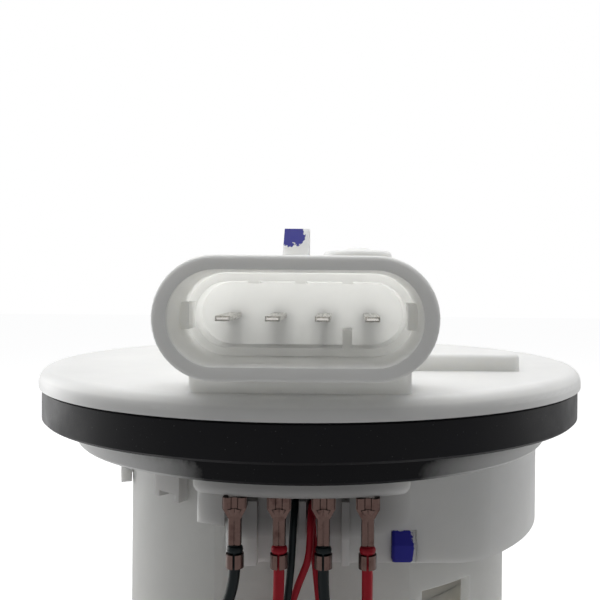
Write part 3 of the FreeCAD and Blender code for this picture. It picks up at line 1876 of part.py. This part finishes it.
def wiper():
    """Two spring fingers that ride just off the card."""
    x = plate_outer_x - card_thickness - wiper_thickness
    x = min(x - 0.02, hub_inner_x)
    reach = wiper_reach + 0.2
    base = block(
        hub_inner_x - 0.2, hub_inner_x + 0.1, -reach, -hub_radius - 0.5, pivot_z - 2.0, pivot_z + 2.0,
    )
    fingers = [
        block(
            x, x + wiper_thickness, -wiper_reach, finger_length - wiper_reach,
            z - finger_half_width, z + finger_half_width,
        )
        for z in (pivot_z - finger_offset, pivot_z + finger_offset)
    ]
    return swung(joined(base, *fingers), arm_low_angle)


def float_left():
    return hub_outer_x - arm_wire / 2 + float_start


def float_block():
    """Closed-cell float on the end leg of the arm."""
    x = float_left()
    body = block(
        x, x + float_width, arm_length - float_length / 2, arm_length + float_length / 2,
        pivot_z - float_height / 2, pivot_z + float_height / 2,
    )
    body = rounded(body, float_round, lambda box: box.XLength > float_width - 0.01)
    start = Vector(x - 1, arm_length, pivot_z)
    hole = Part.makeCylinder(arm_wire / 2 + snug, float_width + 2, start, RIGHT)
    return swung(body.cut(hole), arm_low_angle)


def float_clip():
    """Push-on washer at the end of the arm."""
    x = float_left() + float_width + seat_gap
    washer = Part.makeCylinder(washer_radius, washer_thickness, Vector(x, arm_length, pivot_z), RIGHT)
    hole = Part.makeCylinder(arm_wire / 2 + 0.02, 5, Vector(x - 1, arm_length, pivot_z), RIGHT)
    return swung(washer.cut(hole), arm_low_angle)


def write(name, shape):
    shape.exportStep("parts/" + name + ".step")


def main():
    os.makedirs("parts", exist_ok=True)
    write("flange", flange())
    write("flange_gasket", flange_gasket())
    write("connector_blades", Part.makeCompound([blade(x) for x in blade_positions()]))
    for number, x in enumerate(blade_positions(), 1):
        write("receptacle_" + str(number), receptacle(x))
    write("sender_lead_black", tube(beside_wall(sender_lead_black_route()), lead_diameter))
    write("sender_lead_red", tube(beside_wall(sender_lead_red_route()), lead_diameter))
    write("pump_lead_black", tube(beside_wall(pump_lead_black_route()), lead_diameter))
    write("pump_lead_red", tube(beside_wall(pump_lead_red_route()), lead_diameter))
    write("thin_lead_black", tube(beside_wall(thin_lead_black_route()), thin_diameter))
    write("thin_lead_red_left", tube(beside_wall(thin_lead_red_left_route()), thin_diameter))
    write("thin_lead_red_right", tube(beside_wall(thin_lead_red_right_route()), thin_diameter))
    write("housing", housing())
    write("delivery_hose", delivery_hose())
    write("filter_case", filter_case())
    write("filter_cover", filter_cover())
    write("filter_element", filter_element())
    write("filter_end_caps", filter_end_caps())
    write("regulator_body", regulator_body())
    write("regulator_valve", regulator_valve())
    write("regulator_spring", regulator_spring())
    write("regulator_seals", regulator_seals())
    write("regulator_clip", regulator_clip())
    write("pump_case", pump_case())
    write("pump_inlet_cover", pump_inlet_cover())
    write("impeller", impeller())
    write("chamber_plate", chamber_plate())
    write("pump_bearings", Part.makeCompound([lower_bearing(), upper_bearing()]))
    write("pump_shaft", pump_shaft())
    write("armature_core", armature_core())
    write("armature_windings", armature_windings())
    write("commutator", commutator())
    write("magnets", magnets())
    write("brush_front", brush(-1))
    write("brush_rear", brush(1))
    write("brush_spring_front", brush_spring(-1))
    write("brush_spring_rear", brush_spring(1))
    write("pump_endbell", pump_endbell())
    write("check_valve", check_valve())
    write("check_valve_spring", check_valve_spring())
    write("pump_terminals", pump_terminals())
    write("pump_plug", pump_plug())
    write("pump_seal", pump_seal())
    write("pump_isolator", pump_isolator())
    write("pump_holder", pump_holder())
    write("strainer_neck", strainer_neck())
    write("strainer_pad", strainer_pad())
    write("reservoir", reservoir())
    write("foot_valve", foot_valve())
    write("jet_pump", jet_pump())
    write("jet_tube", jet_tube())
    write("sender_body", sender_body())
    write("resistor_card", resistor_card())
    write("sender_hub", sender_hub())
    write("wiper", wiper())
    write("float_arm", float_arm())
    write("float", float_block())
    write("float_clip", float_clip())


main()
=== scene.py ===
import json
import math

import bpy
from mathutils import Euler, Matrix, Vector


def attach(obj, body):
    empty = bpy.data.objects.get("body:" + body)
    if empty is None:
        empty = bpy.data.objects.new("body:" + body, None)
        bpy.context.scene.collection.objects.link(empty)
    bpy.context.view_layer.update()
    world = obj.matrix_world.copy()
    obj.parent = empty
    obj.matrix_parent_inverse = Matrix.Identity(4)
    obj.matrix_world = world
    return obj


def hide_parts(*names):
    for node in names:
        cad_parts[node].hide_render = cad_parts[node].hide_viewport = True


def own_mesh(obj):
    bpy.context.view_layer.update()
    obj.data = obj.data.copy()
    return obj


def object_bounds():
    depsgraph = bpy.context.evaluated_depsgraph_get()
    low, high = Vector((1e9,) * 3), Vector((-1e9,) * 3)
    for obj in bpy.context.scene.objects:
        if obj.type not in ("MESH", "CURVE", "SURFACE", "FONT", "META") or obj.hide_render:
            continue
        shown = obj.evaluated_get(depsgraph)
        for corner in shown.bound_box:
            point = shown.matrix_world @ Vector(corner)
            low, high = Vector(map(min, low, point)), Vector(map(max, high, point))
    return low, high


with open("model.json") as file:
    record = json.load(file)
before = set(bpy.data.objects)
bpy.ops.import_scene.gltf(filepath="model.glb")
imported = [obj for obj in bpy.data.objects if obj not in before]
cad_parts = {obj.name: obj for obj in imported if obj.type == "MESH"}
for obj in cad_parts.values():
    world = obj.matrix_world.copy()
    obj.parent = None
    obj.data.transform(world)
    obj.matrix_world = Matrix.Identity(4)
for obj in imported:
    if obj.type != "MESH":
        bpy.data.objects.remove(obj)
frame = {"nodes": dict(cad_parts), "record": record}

CAD_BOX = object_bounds()
MM = 0.001

# Camera: its place is in metres, its roll in radians, the rest in pixels of the photograph
PHOTO_SIZE = 600.0
SENSOR_WIDTH = 36.0
CAMERA_FOCUS = 757.0
CAMERA_AXIS = (345.8, 280.0)
CAMERA_AT = (0.0073, -0.177, 0.0291)
CAMERA_ROLL = 0.0082

# Studio: brightness of the plain light, of what the camera sees, and of the floor's lift
PLAIN_LIGHT = 0.2
SEEN_WHITE = 1.0
FLOOR_LIFT = 0.88
FLOOR_REACH = 4.0

NODES = frame["nodes"]
SLOT_OF = {row["node"]: row["material_slot"] for row in frame["record"]["subparts"]}


# Materials

# Length of one wave of Blender's wave texture at a scale of 1
WAVE_LENGTH = 0.314


def start_material(name):
    material = bpy.data.materials.new(name)
    material.use_nodes = True
    tree = material.node_tree
    shader = tree.nodes["Principled BSDF"]
    return material, tree, shader


def node(tree, kind, **values):
    made = tree.nodes.new(kind)
    for key, value in values.items():
        setattr(made, key, value)
    return made


def place(tree, scale=(1.0, 1.0, 1.0)):
    """Object coordinates in millimetres, stretched by scale."""
    coordinates = node(tree, "ShaderNodeTexCoord")
    mapping = node(tree, "ShaderNodeMapping")
    mapping.inputs["Scale"].default_value = tuple(1000.0 * s for s in scale)
    tree.links.new(coordinates.outputs["Object"], mapping.inputs["Vector"])
    return mapping.outputs["Vector"]


def noise(tree, vector, scale, detail=2.0, roughness=0.5):
    made = node(tree, "ShaderNodeTexNoise")
    made.inputs["Scale"].default_value = scale
    made.inputs["Detail"].default_value = detail
    made.inputs["Roughness"].default_value = roughness
    tree.links.new(vector, made.inputs["Vector"])
    return made.outputs["Fac"]


def fit(tree, value, low, high, to_low, to_high):
    """Carry the value from one range to another, kept within its ends."""
    made = node(tree, "ShaderNodeMapRange")
    keys = ("From Min", "From Max", "To Min", "To Max")
    for key, number in zip(keys, (low, high, to_low, to_high)):
        made.inputs[key].default_value = number
    tree.links.new(value, made.inputs["Value"])
    return made.outputs["Result"]


def math_node(tree, operation, first, second=None):
    made = node(tree, "ShaderNodeMath", operation=operation)
    for index, value in enumerate((first, second)):
        if value is None:
            continue
        if isinstance(value, (int, float)):
            made.inputs[index].default_value = value
        else:
            tree.links.new(value, made.inputs[index])
    return made.outputs[0]


def mix(tree, factor, first, second):
    made = node(tree, "ShaderNodeMix", data_type="RGBA")
    tree.links.new(factor, made.inputs["Factor"])
    for key, value in (("A", first), ("B", second)):
        socket = [s for s in made.inputs if s.name == key and s.type == "RGBA"][0]
        if isinstance(value, tuple):
            socket.default_value = value + (1.0,)
        else:
            tree.links.new(value, socket)
    return [s for s in made.outputs if s.type == "RGBA"][0]


def shade(color, factor):
    return tuple(min(1.0, c * factor) for c in color)


def bump(tree, shader, height, strength, distance, edge=0.15):
    """Rounded edges, then the height as relief; distance and edge are in millimetres."""
    made = node(tree, "ShaderNodeBump")
    made.inputs["Strength"].default_value = strength
    made.inputs["Distance"].default_value = distance * MM
    tree.links.new(height, made.inputs["Height"])
    if edge:
        corner = node(tree, "ShaderNodeBevel", samples=4)
        corner.inputs["Radius"].default_value = edge * MM
        tree.links.new(corner.outputs["Normal"], made.inputs["Normal"])
    tree.links.new(made.outputs["Normal"], shader.inputs["Normal"])
    return made.outputs["Normal"]


def moulded(name, color, rough=0.42, grain=0.35, glow=0.0, through=0.0, patches=(), clear=None):
    """Moulded plastic: faint mottling, fine grain and soft edges. glow is how far light spreads
    inside it in millimetres, through is the share of light that passes a thin wall, patches are
    coloured places, and clear is a box whose walls pass a share of their own."""
    material, tree, shader = start_material(name)
    where = place(tree)
    cloud = noise(tree, where, 0.06, 4.0, 0.6)
    speck = noise(tree, where, 2.2, 2.0, 0.6)
    base = mix(tree, fit(tree, cloud, 0.3, 0.7, 0.0, 1.0), shade(color, 0.96), shade(color, 1.02))
    base = mix(tree, fit(tree, speck, 0.74, 0.8, 0.0, 0.25), base, shade(color, 0.75))
    base, cover = lay_patches(tree, base, patches)
    tree.links.new(base, shader.inputs["Base Color"])
    tree.links.new(fit(tree, speck, 0.3, 0.7, rough - 0.06, rough + 0.08), shader.inputs["Roughness"])
    shader.inputs["IOR"].default_value = 1.48
    fine = noise(tree, where, 6.0, 2.0)
    slow = noise(tree, where, 0.35, 1.0)
    relief = math_node(tree, "ADD", math_node(tree, "MULTIPLY", fine, 0.25), slow)
    normal = bump(tree, shader, relief, grain, 0.05, 0.18)
    if glow:
        shader.inputs["Subsurface Weight"].default_value = 1.0
        shader.inputs["Subsurface Radius"].default_value = (1.0, 0.98, 0.94)
        shader.inputs["Subsurface Scale"].default_value = glow * MM
        if cover is not None:
            tree.links.new(fit(tree, cover, 0.0, 1.0, 1.0, 0.0), shader.inputs["Subsurface Weight"])
    if patches:
        shader.inputs["Specular IOR Level"].default_value = 0.2
    if through:
        let_light_through(tree, shader, base, normal, through, cover, clear)
    return material


def let_light_through(tree, shader, base, normal, share, cover, clear):
    """Mix in light from behind the wall: more where it is clear, less where a patch covers it."""
    thin = node(tree, "ShaderNodeBsdfTranslucent")
    tree.links.new(base, thin.inputs["Color"])
    tree.links.new(normal, thin.inputs["Normal"])
    blend = node(tree, "ShaderNodeMixShader")
    blend.inputs[0].default_value = share
    amount = None
    if clear is not None:
        box, clear_share = clear
        amount = fit(tree, mask_of(tree, box, 0.0, 0.3), 0.0, 1.0, share, clear_share)
    if cover is not None:
        open_share = fit(tree, cover, 0.0, 1.0, 1.0, 0.0)
        amount = math_node(tree, "MULTIPLY", open_share, share if amount is None else amount)
    if amount is not None:
        tree.links.new(amount, blend.inputs[0])
    tree.links.new(shader.outputs[0], blend.inputs[1])
    tree.links.new(thin.outputs[0], blend.inputs[2])
    tree.links.new(blend.outputs[0], tree.nodes["Material Output"].inputs["Surface"])


def metal(name, color, rough=0.3, stretch=(1.0, 1.0, 0.05), stain=None, edge=0.08):
    """Drawn or rolled metal with streaks along one way and light tarnish."""
    material, tree, shader = start_material(name)
    where = place(tree, stretch)
    streak = noise(tree, where, 3.5, 3.0, 0.6)
    cloud = noise(tree, place(tree), 0.5, 3.0, 0.65)
    tone = fit(tree, cloud, 0.3, 0.7, 0.0, 1.0)
    base = mix(tree, tone, shade(color, 0.86), shade(color, 1.06))
    if stain:
        base = mix(tree, fit(tree, cloud, 0.5, 0.72, 0.0, 0.75), base, stain)
    tree.links.new(base, shader.inputs["Base Color"])
    shader.inputs["Metallic"].default_value = 1.0
    tree.links.new(fit(tree, streak, 0.3, 0.7, rough - 0.08, rough + 0.14), shader.inputs["Roughness"])
    bump(tree, shader, streak, 0.25, 0.03, edge)
    return material


def rubber(name, color, rough=0.5, gloss=0.2, edge=0.25, patches=()):
    """Moulded rubber with a faint bloom and specks of dust."""
    material, tree, shader = start_material(name)
    where = place(tree)
    cloud = noise(tree, where, 0.12, 4.0, 0.6)
    bloom = fit(tree, cloud, 0.45, 0.8, 0.0, 1.0)
    base = mix(tree, bloom, color, shade(color, 1.5))
    dust = noise(tree, where, 3.0, 1.0)
    base = mix(tree, fit(tree, dust, 0.74, 0.8, 0.0, 0.3), base, (0.16, 0.16, 0.16))
    base, _ = lay_patches(tree, base, patches)
    tree.links.new(base, shader.inputs["Base Color"])
    tree.links.new(fit(tree, cloud, 0.3, 0.7, rough - 0.06, rough + 0.08), shader.inputs["Roughness"])
    shader.inputs["Specular IOR Level"].default_value = gloss
    bump(tree, shader, noise(tree, where, 2.5, 3.0), 0.3, 0.04, edge)
    return material


def insulation(name, color):
    """Extruded lead insulation: slightly waxy, with faint die lines."""
    material, tree, shader = start_material(name)
    where = place(tree)
    cloud = noise(tree, where, 0.25, 3.0)
    base = mix(tree, fit(tree, cloud, 0.3, 0.7, 0.0, 1.0), shade(color, 0.8), shade(color, 1.15))
    tree.links.new(base, shader.inputs["Base Color"])
    tree.links.new(fit(tree, cloud, 0.3, 0.7, 0.32, 0.46), shader.inputs["Roughness"])
    shader.inputs["Specular IOR Level"].default_value = 0.1
    bump(tree, shader, noise(tree, where, 1.2, 2.0), 0.2, 0.05, 0.0)
    return material


def woven(name, color, pitch=0.55):
    """Fine nylon mesh: two crossing sets of threads, pitch millimetres apart."""
    material, tree, shader = start_material(name)
    where = place(tree)
    waves = []
    for axis in ("X", "Y"):
        made = node(tree, "ShaderNodeTexWave", bands_direction=axis, wave_profile="SIN")
        made.inputs["Scale"].default_value = WAVE_LENGTH / pitch
        made.inputs["Distortion"].default_value = 0.4
        tree.links.new(where, made.inputs["Vector"])
        waves.append(made.outputs["Fac"])
    thread = math_node(tree, "MAXIMUM", *waves)
    gap = fit(tree, thread, 0.35, 0.75, 0.0, 1.0)
    base = mix(tree, gap, shade(color, 0.35), color)
    tree.links.new(base, shader.inputs["Base Color"])
    shader.inputs["Roughness"].default_value = 0.55
    shader.inputs["Sheen Weight"].default_value = 0.2
    bump(tree, shader, thread, 0.8, 0.15, 0.0)
    return material


def pleated_paper(name, color):
    """Filter paper with long fibres."""
    material, tree, shader = start_material(name)
    where = place(tree)
    fibre = noise(tree, place(tree, (1.0, 1.0, 0.25)), 3.0, 4.0, 0.7)
    base = mix(tree, fit(tree, fibre, 0.3, 0.7, 0.0, 1.0), shade(color, 0.85), shade(color, 1.05))
    tree.links.new(base, shader.inputs["Base Color"])
    shader.inputs["Roughness"].default_value = 0.85
    bump(tree, shader, noise(tree, where, 2.0, 4.0), 0.5, 0.08, 0.0)
    return material


def foam(name, color):
    """Closed-cell foam skin with fine pores."""
    material, tree, shader = start_material(name)
    where = place(tree)
    cells = node(tree, "ShaderNodeTexVoronoi")
    cells.inputs["Scale"].default_value = 1.6
    tree.links.new(where, cells.inputs["Vector"])
    pores = fit(tree, cells.outputs["Distance"], 0.05, 0.4, 0.0, 1.0)
    base = mix(tree, pores, shade(color, 0.6), shade(color, 1.3))
    tree.links.new(base, shader.inputs["Base Color"])
    shader.inputs["Roughness"].default_value = 0.8
    bump(tree, shader, pores, 0.5, 0.1, 0.3)
    return material


def split(tree):
    separate = node(tree, "ShaderNodeSeparateXYZ")
    tree.links.new(place(tree), separate.inputs["Vector"])
    return separate.outputs["X"], separate.outputs["Y"], separate.outputs["Z"]


def mask_of(tree, box, ragged, soft):
    """1 inside a box given in millimetres, 0 outside. Its corners are round, ragged is how far its
    edge wanders in millimetres, and soft is how gently it ends, from 0 to 1."""
    spread = noise(tree, place(tree), 0.9, 3.0, 0.6)
    shift = fit(tree, spread, 0.3, 0.7, -ragged, ragged)
    total = None
    for value, (low, high) in zip(split(tree), box):
        moved = math_node(tree, "ADD", value, shift)
        half = (high - low) / 2
        near = fit(tree, moved, low, low + half, -1.0, 0.0)
        far = fit(tree, moved, low + half, high, 0.0, 1.0)
        across = math_node(tree, "ADD", near, far)
        square = math_node(tree, "MULTIPLY", across, across)
        fourth = math_node(tree, "MULTIPLY", square, square)
        total = fourth if total is None else math_node(tree, "ADD", total, fourth)
    return fit(tree, total, 1.0 - soft, 1.0, 1.0, 0.0)


def patch(x, y, z, color, ragged=0.0, soft=0.2, share=1.0):
    """A coloured place on a piece: its ranges in millimetres, its colour, how ragged and how soft
    its edge is, and the share of what lies under it that it hides."""
    return (x, y, z), color, ragged, soft, share


def lay_patches(tree, base, patches):
    """The base colour with the patches on it, and a mask of how much of it they hide."""
    cover = None
    for box, color, ragged, soft, share in patches:
        mask = math_node(tree, "MULTIPLY", mask_of(tree, box, ragged, soft), share)
        base = mix(tree, mask, base, color)
        cover = mask if cover is None else math_node(tree, "MAXIMUM", cover, mask)
    return base, cover


EVERYWHERE = (-300.0, 300.0)
FLANGE_PATCHES = (
    # inspection paint on the lock tab, and two dots of it between the receptacles
    patch((-3.4, 0.9), (-66.0, -56.6), (34.3, 38.6), (0.008, 0.008, 0.25), 0.5, 0.1),
    patch((-9.5, -8.5), (-46.0, -36.0), (-11.6, -10.4), (0.05, 0.07, 0.35), 0.2, 0.3),
    patch((6.9, 8.0), (-46.0, -36.0), (-11.8, -10.7), (0.03, 0.16, 0.08), 0.2, 0.3),
    # a scuff on the connector's rim
    patch((-15.4, -12.7), (-68.5, -65.5), (13.4, 14.3), (0.30, 0.30, 0.29), 0.2, 0.5, 0.8),
    # painted shade: a darker tone, as photographed, that also passes less light, on the connector's
    # rim, the wall behind the receptacles, the tabs at the left and the disc's rim
    patch((-60.0, 60.0), (-67.9, -66.1), (-30.0, 70.0), (0.70, 0.70, 0.69), 0.0, 0.6, 0.6),
    patch((-19.5, 19.5), (-60.0, -30.0), (-17.5, -2.5), (0.34, 0.335, 0.33), 0.0, 0.9),
    patch((-43.0, -21.0), (-52.0, -26.0), (-17.0, -5.4), (0.45, 0.44, 0.43), 0.0, 0.5, 0.7),
    patch((-120.0, 120.0), (-120.0, 120.0), (2.0, 9.3), (0.66, 0.66, 0.65), 0.0, 0.4, 0.6),
)
HOUSING_PATCHES = (
    # inspection paint on the latch, and a green tint at the left
    patch((15.5, 20.0), (-44.0, -36.0), (-21.9, -16.1), (0.014, 0.014, 0.26), 0.3),
    patch((-44.0, -36.9), (-8.0, 6.0), (-27.0, -17.5), (0.45, 0.68, 0.54), 1.2, 0.8, 0.6),
)
# The gasket's lip is pale at the left, at the right and at the back: painted sheen, for the light its
# sides catch
LIP_PAINTED_SHEEN = (0.76, 0.76, 0.75)
LIP_HEIGHTS = (-9.0, -0.15)
GASKET_PATCHES = (
    patch((-90.0, -16.5), EVERYWHERE, LIP_HEIGHTS, LIP_PAINTED_SHEEN, 0.3, 0.85),
    patch((20.0, 120.0), EVERYWHERE, LIP_HEIGHTS, LIP_PAINTED_SHEEN, 0.3, 0.9),
    patch(EVERYWHERE, (-10.0, 130.0), LIP_HEIGHTS, LIP_PAINTED_SHEEN, 0.3, 0.9),
)
# The connector's socket is bright inside, so its walls pass a larger share of the light
SOCKET_BOX = ((-26.0, 26.0), (-57.5, -34.0), (9.0, 38.5))
SOCKET_SHARE = 0.7


def make_materials():
    white = (0.84, 0.84, 0.825)
    made = {
        "flange_white": moulded(
            "flange_white", white, 0.36, 0.3, glow=3.0, through=0.2,
            patches=FLANGE_PATCHES, clear=(SOCKET_BOX, SOCKET_SHARE),
        ),
        "housing_white": moulded(
            "housing_white", shade(white, 0.98), 0.42, 0.35, glow=3.0, through=0.45,
            patches=HOUSING_PATCHES,
        ),
        "reservoir_white": moulded(
            "reservoir_white", (0.80, 0.80, 0.78), 0.46, 0.4, glow=3.0, through=0.2,
        ),
        "gasket_black": rubber(
            "gasket_black", (0.004, 0.004, 0.005), 0.5, gloss=0.08, edge=0.08, patches=GASKET_PATCHES,
        ),
        "blade_tin": metal("blade_tin", (0.62, 0.60, 0.57), 0.22, (1.0, 0.05, 1.0)),
        "receptacle_tin": metal(
            "receptacle_tin", (0.078, 0.050, 0.044), 0.3, (1.0, 1.0, 0.1), stain=(0.034, 0.018, 0.016),
        ),
        "lead_black": insulation("lead_black", (0.006, 0.010, 0.011)),
        "lead_red": insulation("lead_red", (0.36, 0.014, 0.026)),
        "hose_black": moulded("hose_black", (0.02, 0.02, 0.022), 0.4, 0.3),
        "filter_black": moulded("filter_black", (0.03, 0.03, 0.033), 0.48, 0.4),
        "filter_natural": moulded(
            "filter_natural", (0.72, 0.69, 0.62), 0.46, 0.35, glow=3.0, through=0.2,
        ),
        "filter_paper": pleated_paper("filter_paper", (0.78, 0.68, 0.42)),
        "cap_white": moulded("cap_white", (0.75, 0.75, 0.72), 0.5, 0.3),
        "steel": metal("steel", (0.40, 0.40, 0.41), 0.3),
        "spring_steel": metal("spring_steel", (0.36, 0.36, 0.37), 0.28),
        "case_steel": metal("case_steel", (0.66, 0.66, 0.67), 0.26, (0.15, 0.15, 1.0)),
        "cover_black": moulded("cover_black", (0.025, 0.025, 0.028), 0.5, 0.4),
        "acetal": moulded("acetal", (0.74, 0.72, 0.64), 0.45, 0.3),
        "impeller_brown": moulded("impeller_brown", (0.20, 0.09, 0.045), 0.5, 0.3),
        "plate_aluminium": metal("plate_aluminium", (0.70, 0.70, 0.71), 0.4, (1.0, 1.0, 1.0)),
        "bronze": metal("bronze", (0.55, 0.36, 0.18), 0.42, (1.0, 1.0, 1.0)),
        "core_iron": metal("core_iron", (0.30, 0.29, 0.29), 0.45, (0.1, 0.1, 4.0)),
        "copper": metal("copper", (0.72, 0.33, 0.16), 0.3, (1.0, 1.0, 0.1)),
        "magnet_grey": moulded("magnet_grey", (0.08, 0.08, 0.085), 0.6, 0.5),
        "carbon": moulded("carbon", (0.035, 0.035, 0.036), 0.55, 0.5),
        "rubber_black": rubber("rubber_black", (0.018, 0.018, 0.019), 0.55),
        "mesh": woven("mesh", (0.80, 0.77, 0.68)),
        "card": moulded("card", (0.72, 0.69, 0.62), 0.4, 0.2),
        "float_foam": foam("float_foam", (0.03, 0.03, 0.031)),
    }
    return made


def dress_nodes(materials):
    """Give each CAD node the material of its slot."""
    for name, obj in NODES.items():
        obj.data.materials.clear()
        obj.data.materials.append(materials[SLOT_OF[name]])


# Pieces of the scene

CRIMPED_LEADS = ("sender_lead_black", "sender_lead_red", "pump_lead_black", "pump_lead_red")


def lead_top(lead):
    """Middle of the end that the receptacle grips, in millimetres."""
    points = [lead.matrix_world @ vertex.co for vertex in lead.data.vertices]
    high = max(point.z for point in points)
    slack = 0.05 * MM
    end = [point for point in points if point.z > high - slack]
    return sum(end, Vector()) / len(end) / MM


def turned(name, profile, centre, sides=40):
    """Body of revolution about a vertical line; profile is radius and height in millimetres."""
    mesh = bpy.data.meshes.new(name)
    points = []
    faces = []
    for radius, height in profile:
        for step in range(sides):
            turn = 2 * math.pi * step / sides
            across = Vector((radius * math.cos(turn), radius * math.sin(turn), height))
            points.append((centre + across) * MM)
    rows = len(profile)
    for row in range(rows - 1):
        for step in range(sides):
            after = (step + 1) % sides
            low, high = row * sides, (row + 1) * sides
            faces.append((low + step, low + after, high + after, high + step))
    faces.append(tuple(reversed(range(sides))))
    faces.append(tuple((rows - 1) * sides + step for step in range(sides)))
    mesh.from_pydata(points, [], faces)
    mesh.shade_smooth()
    piece = bpy.data.objects.new(name, mesh)
    bpy.context.scene.collection.objects.link(piece)
    return piece


def make_bulges(materials):
    """The insulation swells where the wings squeeze it, between wings and crimp. Heights are
    measured from the lead's end, and all sizes are in millimetres."""
    low, high = -1.5, -0.1
    neck, widest = 1.0, 1.42
    fullness = 0.6
    rows = 10
    for lead_name in CRIMPED_LEADS:
        centre = lead_top(NODES[lead_name])
        profile = []
        for row in range(rows + 1):
            share = row / rows
            swell = math.sin(math.pi * share) ** fullness
            profile.append((neck + (widest - neck) * swell, low + (high - low) * share))
        bulge = turned("insulation_bulge_" + lead_name, profile, centre)
        slot = SLOT_OF[lead_name]
        bulge.data.materials.append(materials[slot])
        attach(bulge, "module")


def make_springs(materials):
    """Coil springs, which shorten as the valve or brush on them moves, copied as objects with meshes
    of their own in place of the CAD nodes.
    """
    for joint in frame["record"]["behaviour"]["joints"]:
        for row in joint.get("deforming_nodes", []):
            name = row["node"]
            mesh = NODES[name].data.copy()
            spring = bpy.data.objects.new(name + "_coils", mesh)
            bpy.context.scene.collection.objects.link(spring)
            mesh.materials.clear()
            mesh.materials.append(materials[SLOT_OF[name]])
            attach(spring, "module")
            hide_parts(name)
            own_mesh(spring)


# Surroundings

def background(tree, output, plain, bright):
    """The plain light, and white for what the camera and mirrors see."""
    path = node(tree, "ShaderNodeLightPath")
    seen = math_node(tree, "MAXIMUM", path.outputs["Is Camera Ray"], path.outputs["Is Glossy Ray"])
    seen = math_node(tree, "MAXIMUM", seen, path.outputs["Is Transmission Ray"])
    blend = node(tree, "ShaderNodeMixShader")
    tree.links.new(seen, blend.inputs[0])
    tree.links.new(plain, blend.inputs[1])
    tree.links.new(bright, blend.inputs[2])
    tree.links.new(blend.outputs[0], output.inputs["Surface"])


def make_world():
    world = bpy.data.worlds.new("studio")
    bpy.context.scene.world = world
    world.use_nodes = True
    tree = world.node_tree
    tree.nodes.clear()
    output = node(tree, "ShaderNodeOutputWorld")
    plain = node(tree, "ShaderNodeBackground")
    plain.inputs["Color"].default_value = (0.97, 0.98, 1.0, 1.0)
    plain.inputs["Strength"].default_value = PLAIN_LIGHT
    bright = node(tree, "ShaderNodeBackground")
    bright.inputs["Color"].default_value = (1.0, 1.0, 1.0, 1.0)
    bright.inputs["Strength"].default_value = SEEN_WHITE
    background(tree, output, plain.outputs[0], bright.outputs[0])


def make_floor():
    low = CAD_BOX[0][2]
    mesh = bpy.data.meshes.new("floor")
    sides = ((-1, -1), (1, -1), (1, 1), (-1, 1))
    corners = [(x * FLOOR_REACH, y * FLOOR_REACH, low) for x, y in sides]
    mesh.from_pydata(corners, [], [(0, 1, 2, 3)])
    floor = bpy.data.objects.new("floor", mesh)
    bpy.context.scene.collection.objects.link(floor)
    material = bpy.data.materials.new("floor_pale")
    material.use_nodes = True
    tree = material.node_tree
    tree.nodes.clear()
    output = node(tree, "ShaderNodeOutputMaterial")
    plain = node(tree, "ShaderNodeBsdfDiffuse")
    plain.inputs["Color"].default_value = (0.5, 0.5, 0.5, 1.0)
    lift = node(tree, "ShaderNodeEmission")
    lift.inputs["Color"].default_value = (1.0, 1.0, 1.0, 1.0)
    lift.inputs["Strength"].default_value = FLOOR_LIFT
    both = node(tree, "ShaderNodeAddShader")
    tree.links.new(plain.outputs[0], both.inputs[0])
    tree.links.new(lift.outputs[0], both.inputs[1])
    background(tree, output, plain.outputs[0], both.outputs[0])
    mesh.materials.append(material)


def lamp(name, place_at, target, size, power):
    """Soft rectangular lamp aimed at the target; metres and watts."""
    data = bpy.data.lights.new(name, "AREA")
    data.shape = "RECTANGLE"
    data.size, data.size_y = size
    data.energy = power
    made = bpy.data.objects.new(name, data)
    made.location = place_at
    made.rotation_euler = (Vector(target) - Vector(place_at)).to_track_quat("-Z", "Y").to_euler()
    bpy.context.scene.collection.objects.link(made)


def make_lamps():
    lamp("top", (0.0, 0.12, 0.72), (0.0, 0.0, 0.0), (0.9, 0.9), 7.4)
    lamp("rear_left", (-0.75, 0.35, 0.12), (0.0, 0.0, -0.03), (0.5, 0.6), 4.2)
    lamp("rear_right", (0.75, 0.30, 0.12), (0.0, 0.0, -0.03), (0.5, 0.6), 1.4)


def make_camera():
    """Level camera; the small shift is the photograph's framing."""
    data = bpy.data.cameras.new("camera")
    data.sensor_width = SENSOR_WIDTH
    data.lens = CAMERA_FOCUS / PHOTO_SIZE * SENSOR_WIDTH
    data.shift_x = (PHOTO_SIZE / 2 - CAMERA_AXIS[0]) / PHOTO_SIZE
    data.shift_y = (CAMERA_AXIS[1] - PHOTO_SIZE / 2) / PHOTO_SIZE
    data.clip_start = 0.005
    camera = bpy.data.objects.new("camera", data)
    level = Euler((math.pi / 2, 0.0, 0.0)).to_matrix()
    roll = Matrix.Rotation(CAMERA_ROLL, 3, "Z")
    camera.matrix_world = Matrix.Translation(CAMERA_AT) @ (level @ roll).to_4x4()
    bpy.context.scene.collection.objects.link(camera)
    bpy.context.scene.camera = camera


def main():
    scene = bpy.context.scene
    scene.view_settings.view_transform = "Standard"
    materials = make_materials()
    dress_nodes(materials)
    make_bulges(materials)
    make_springs(materials)
    make_world()
    make_floor()
    make_lamps()
    make_camera()


main()
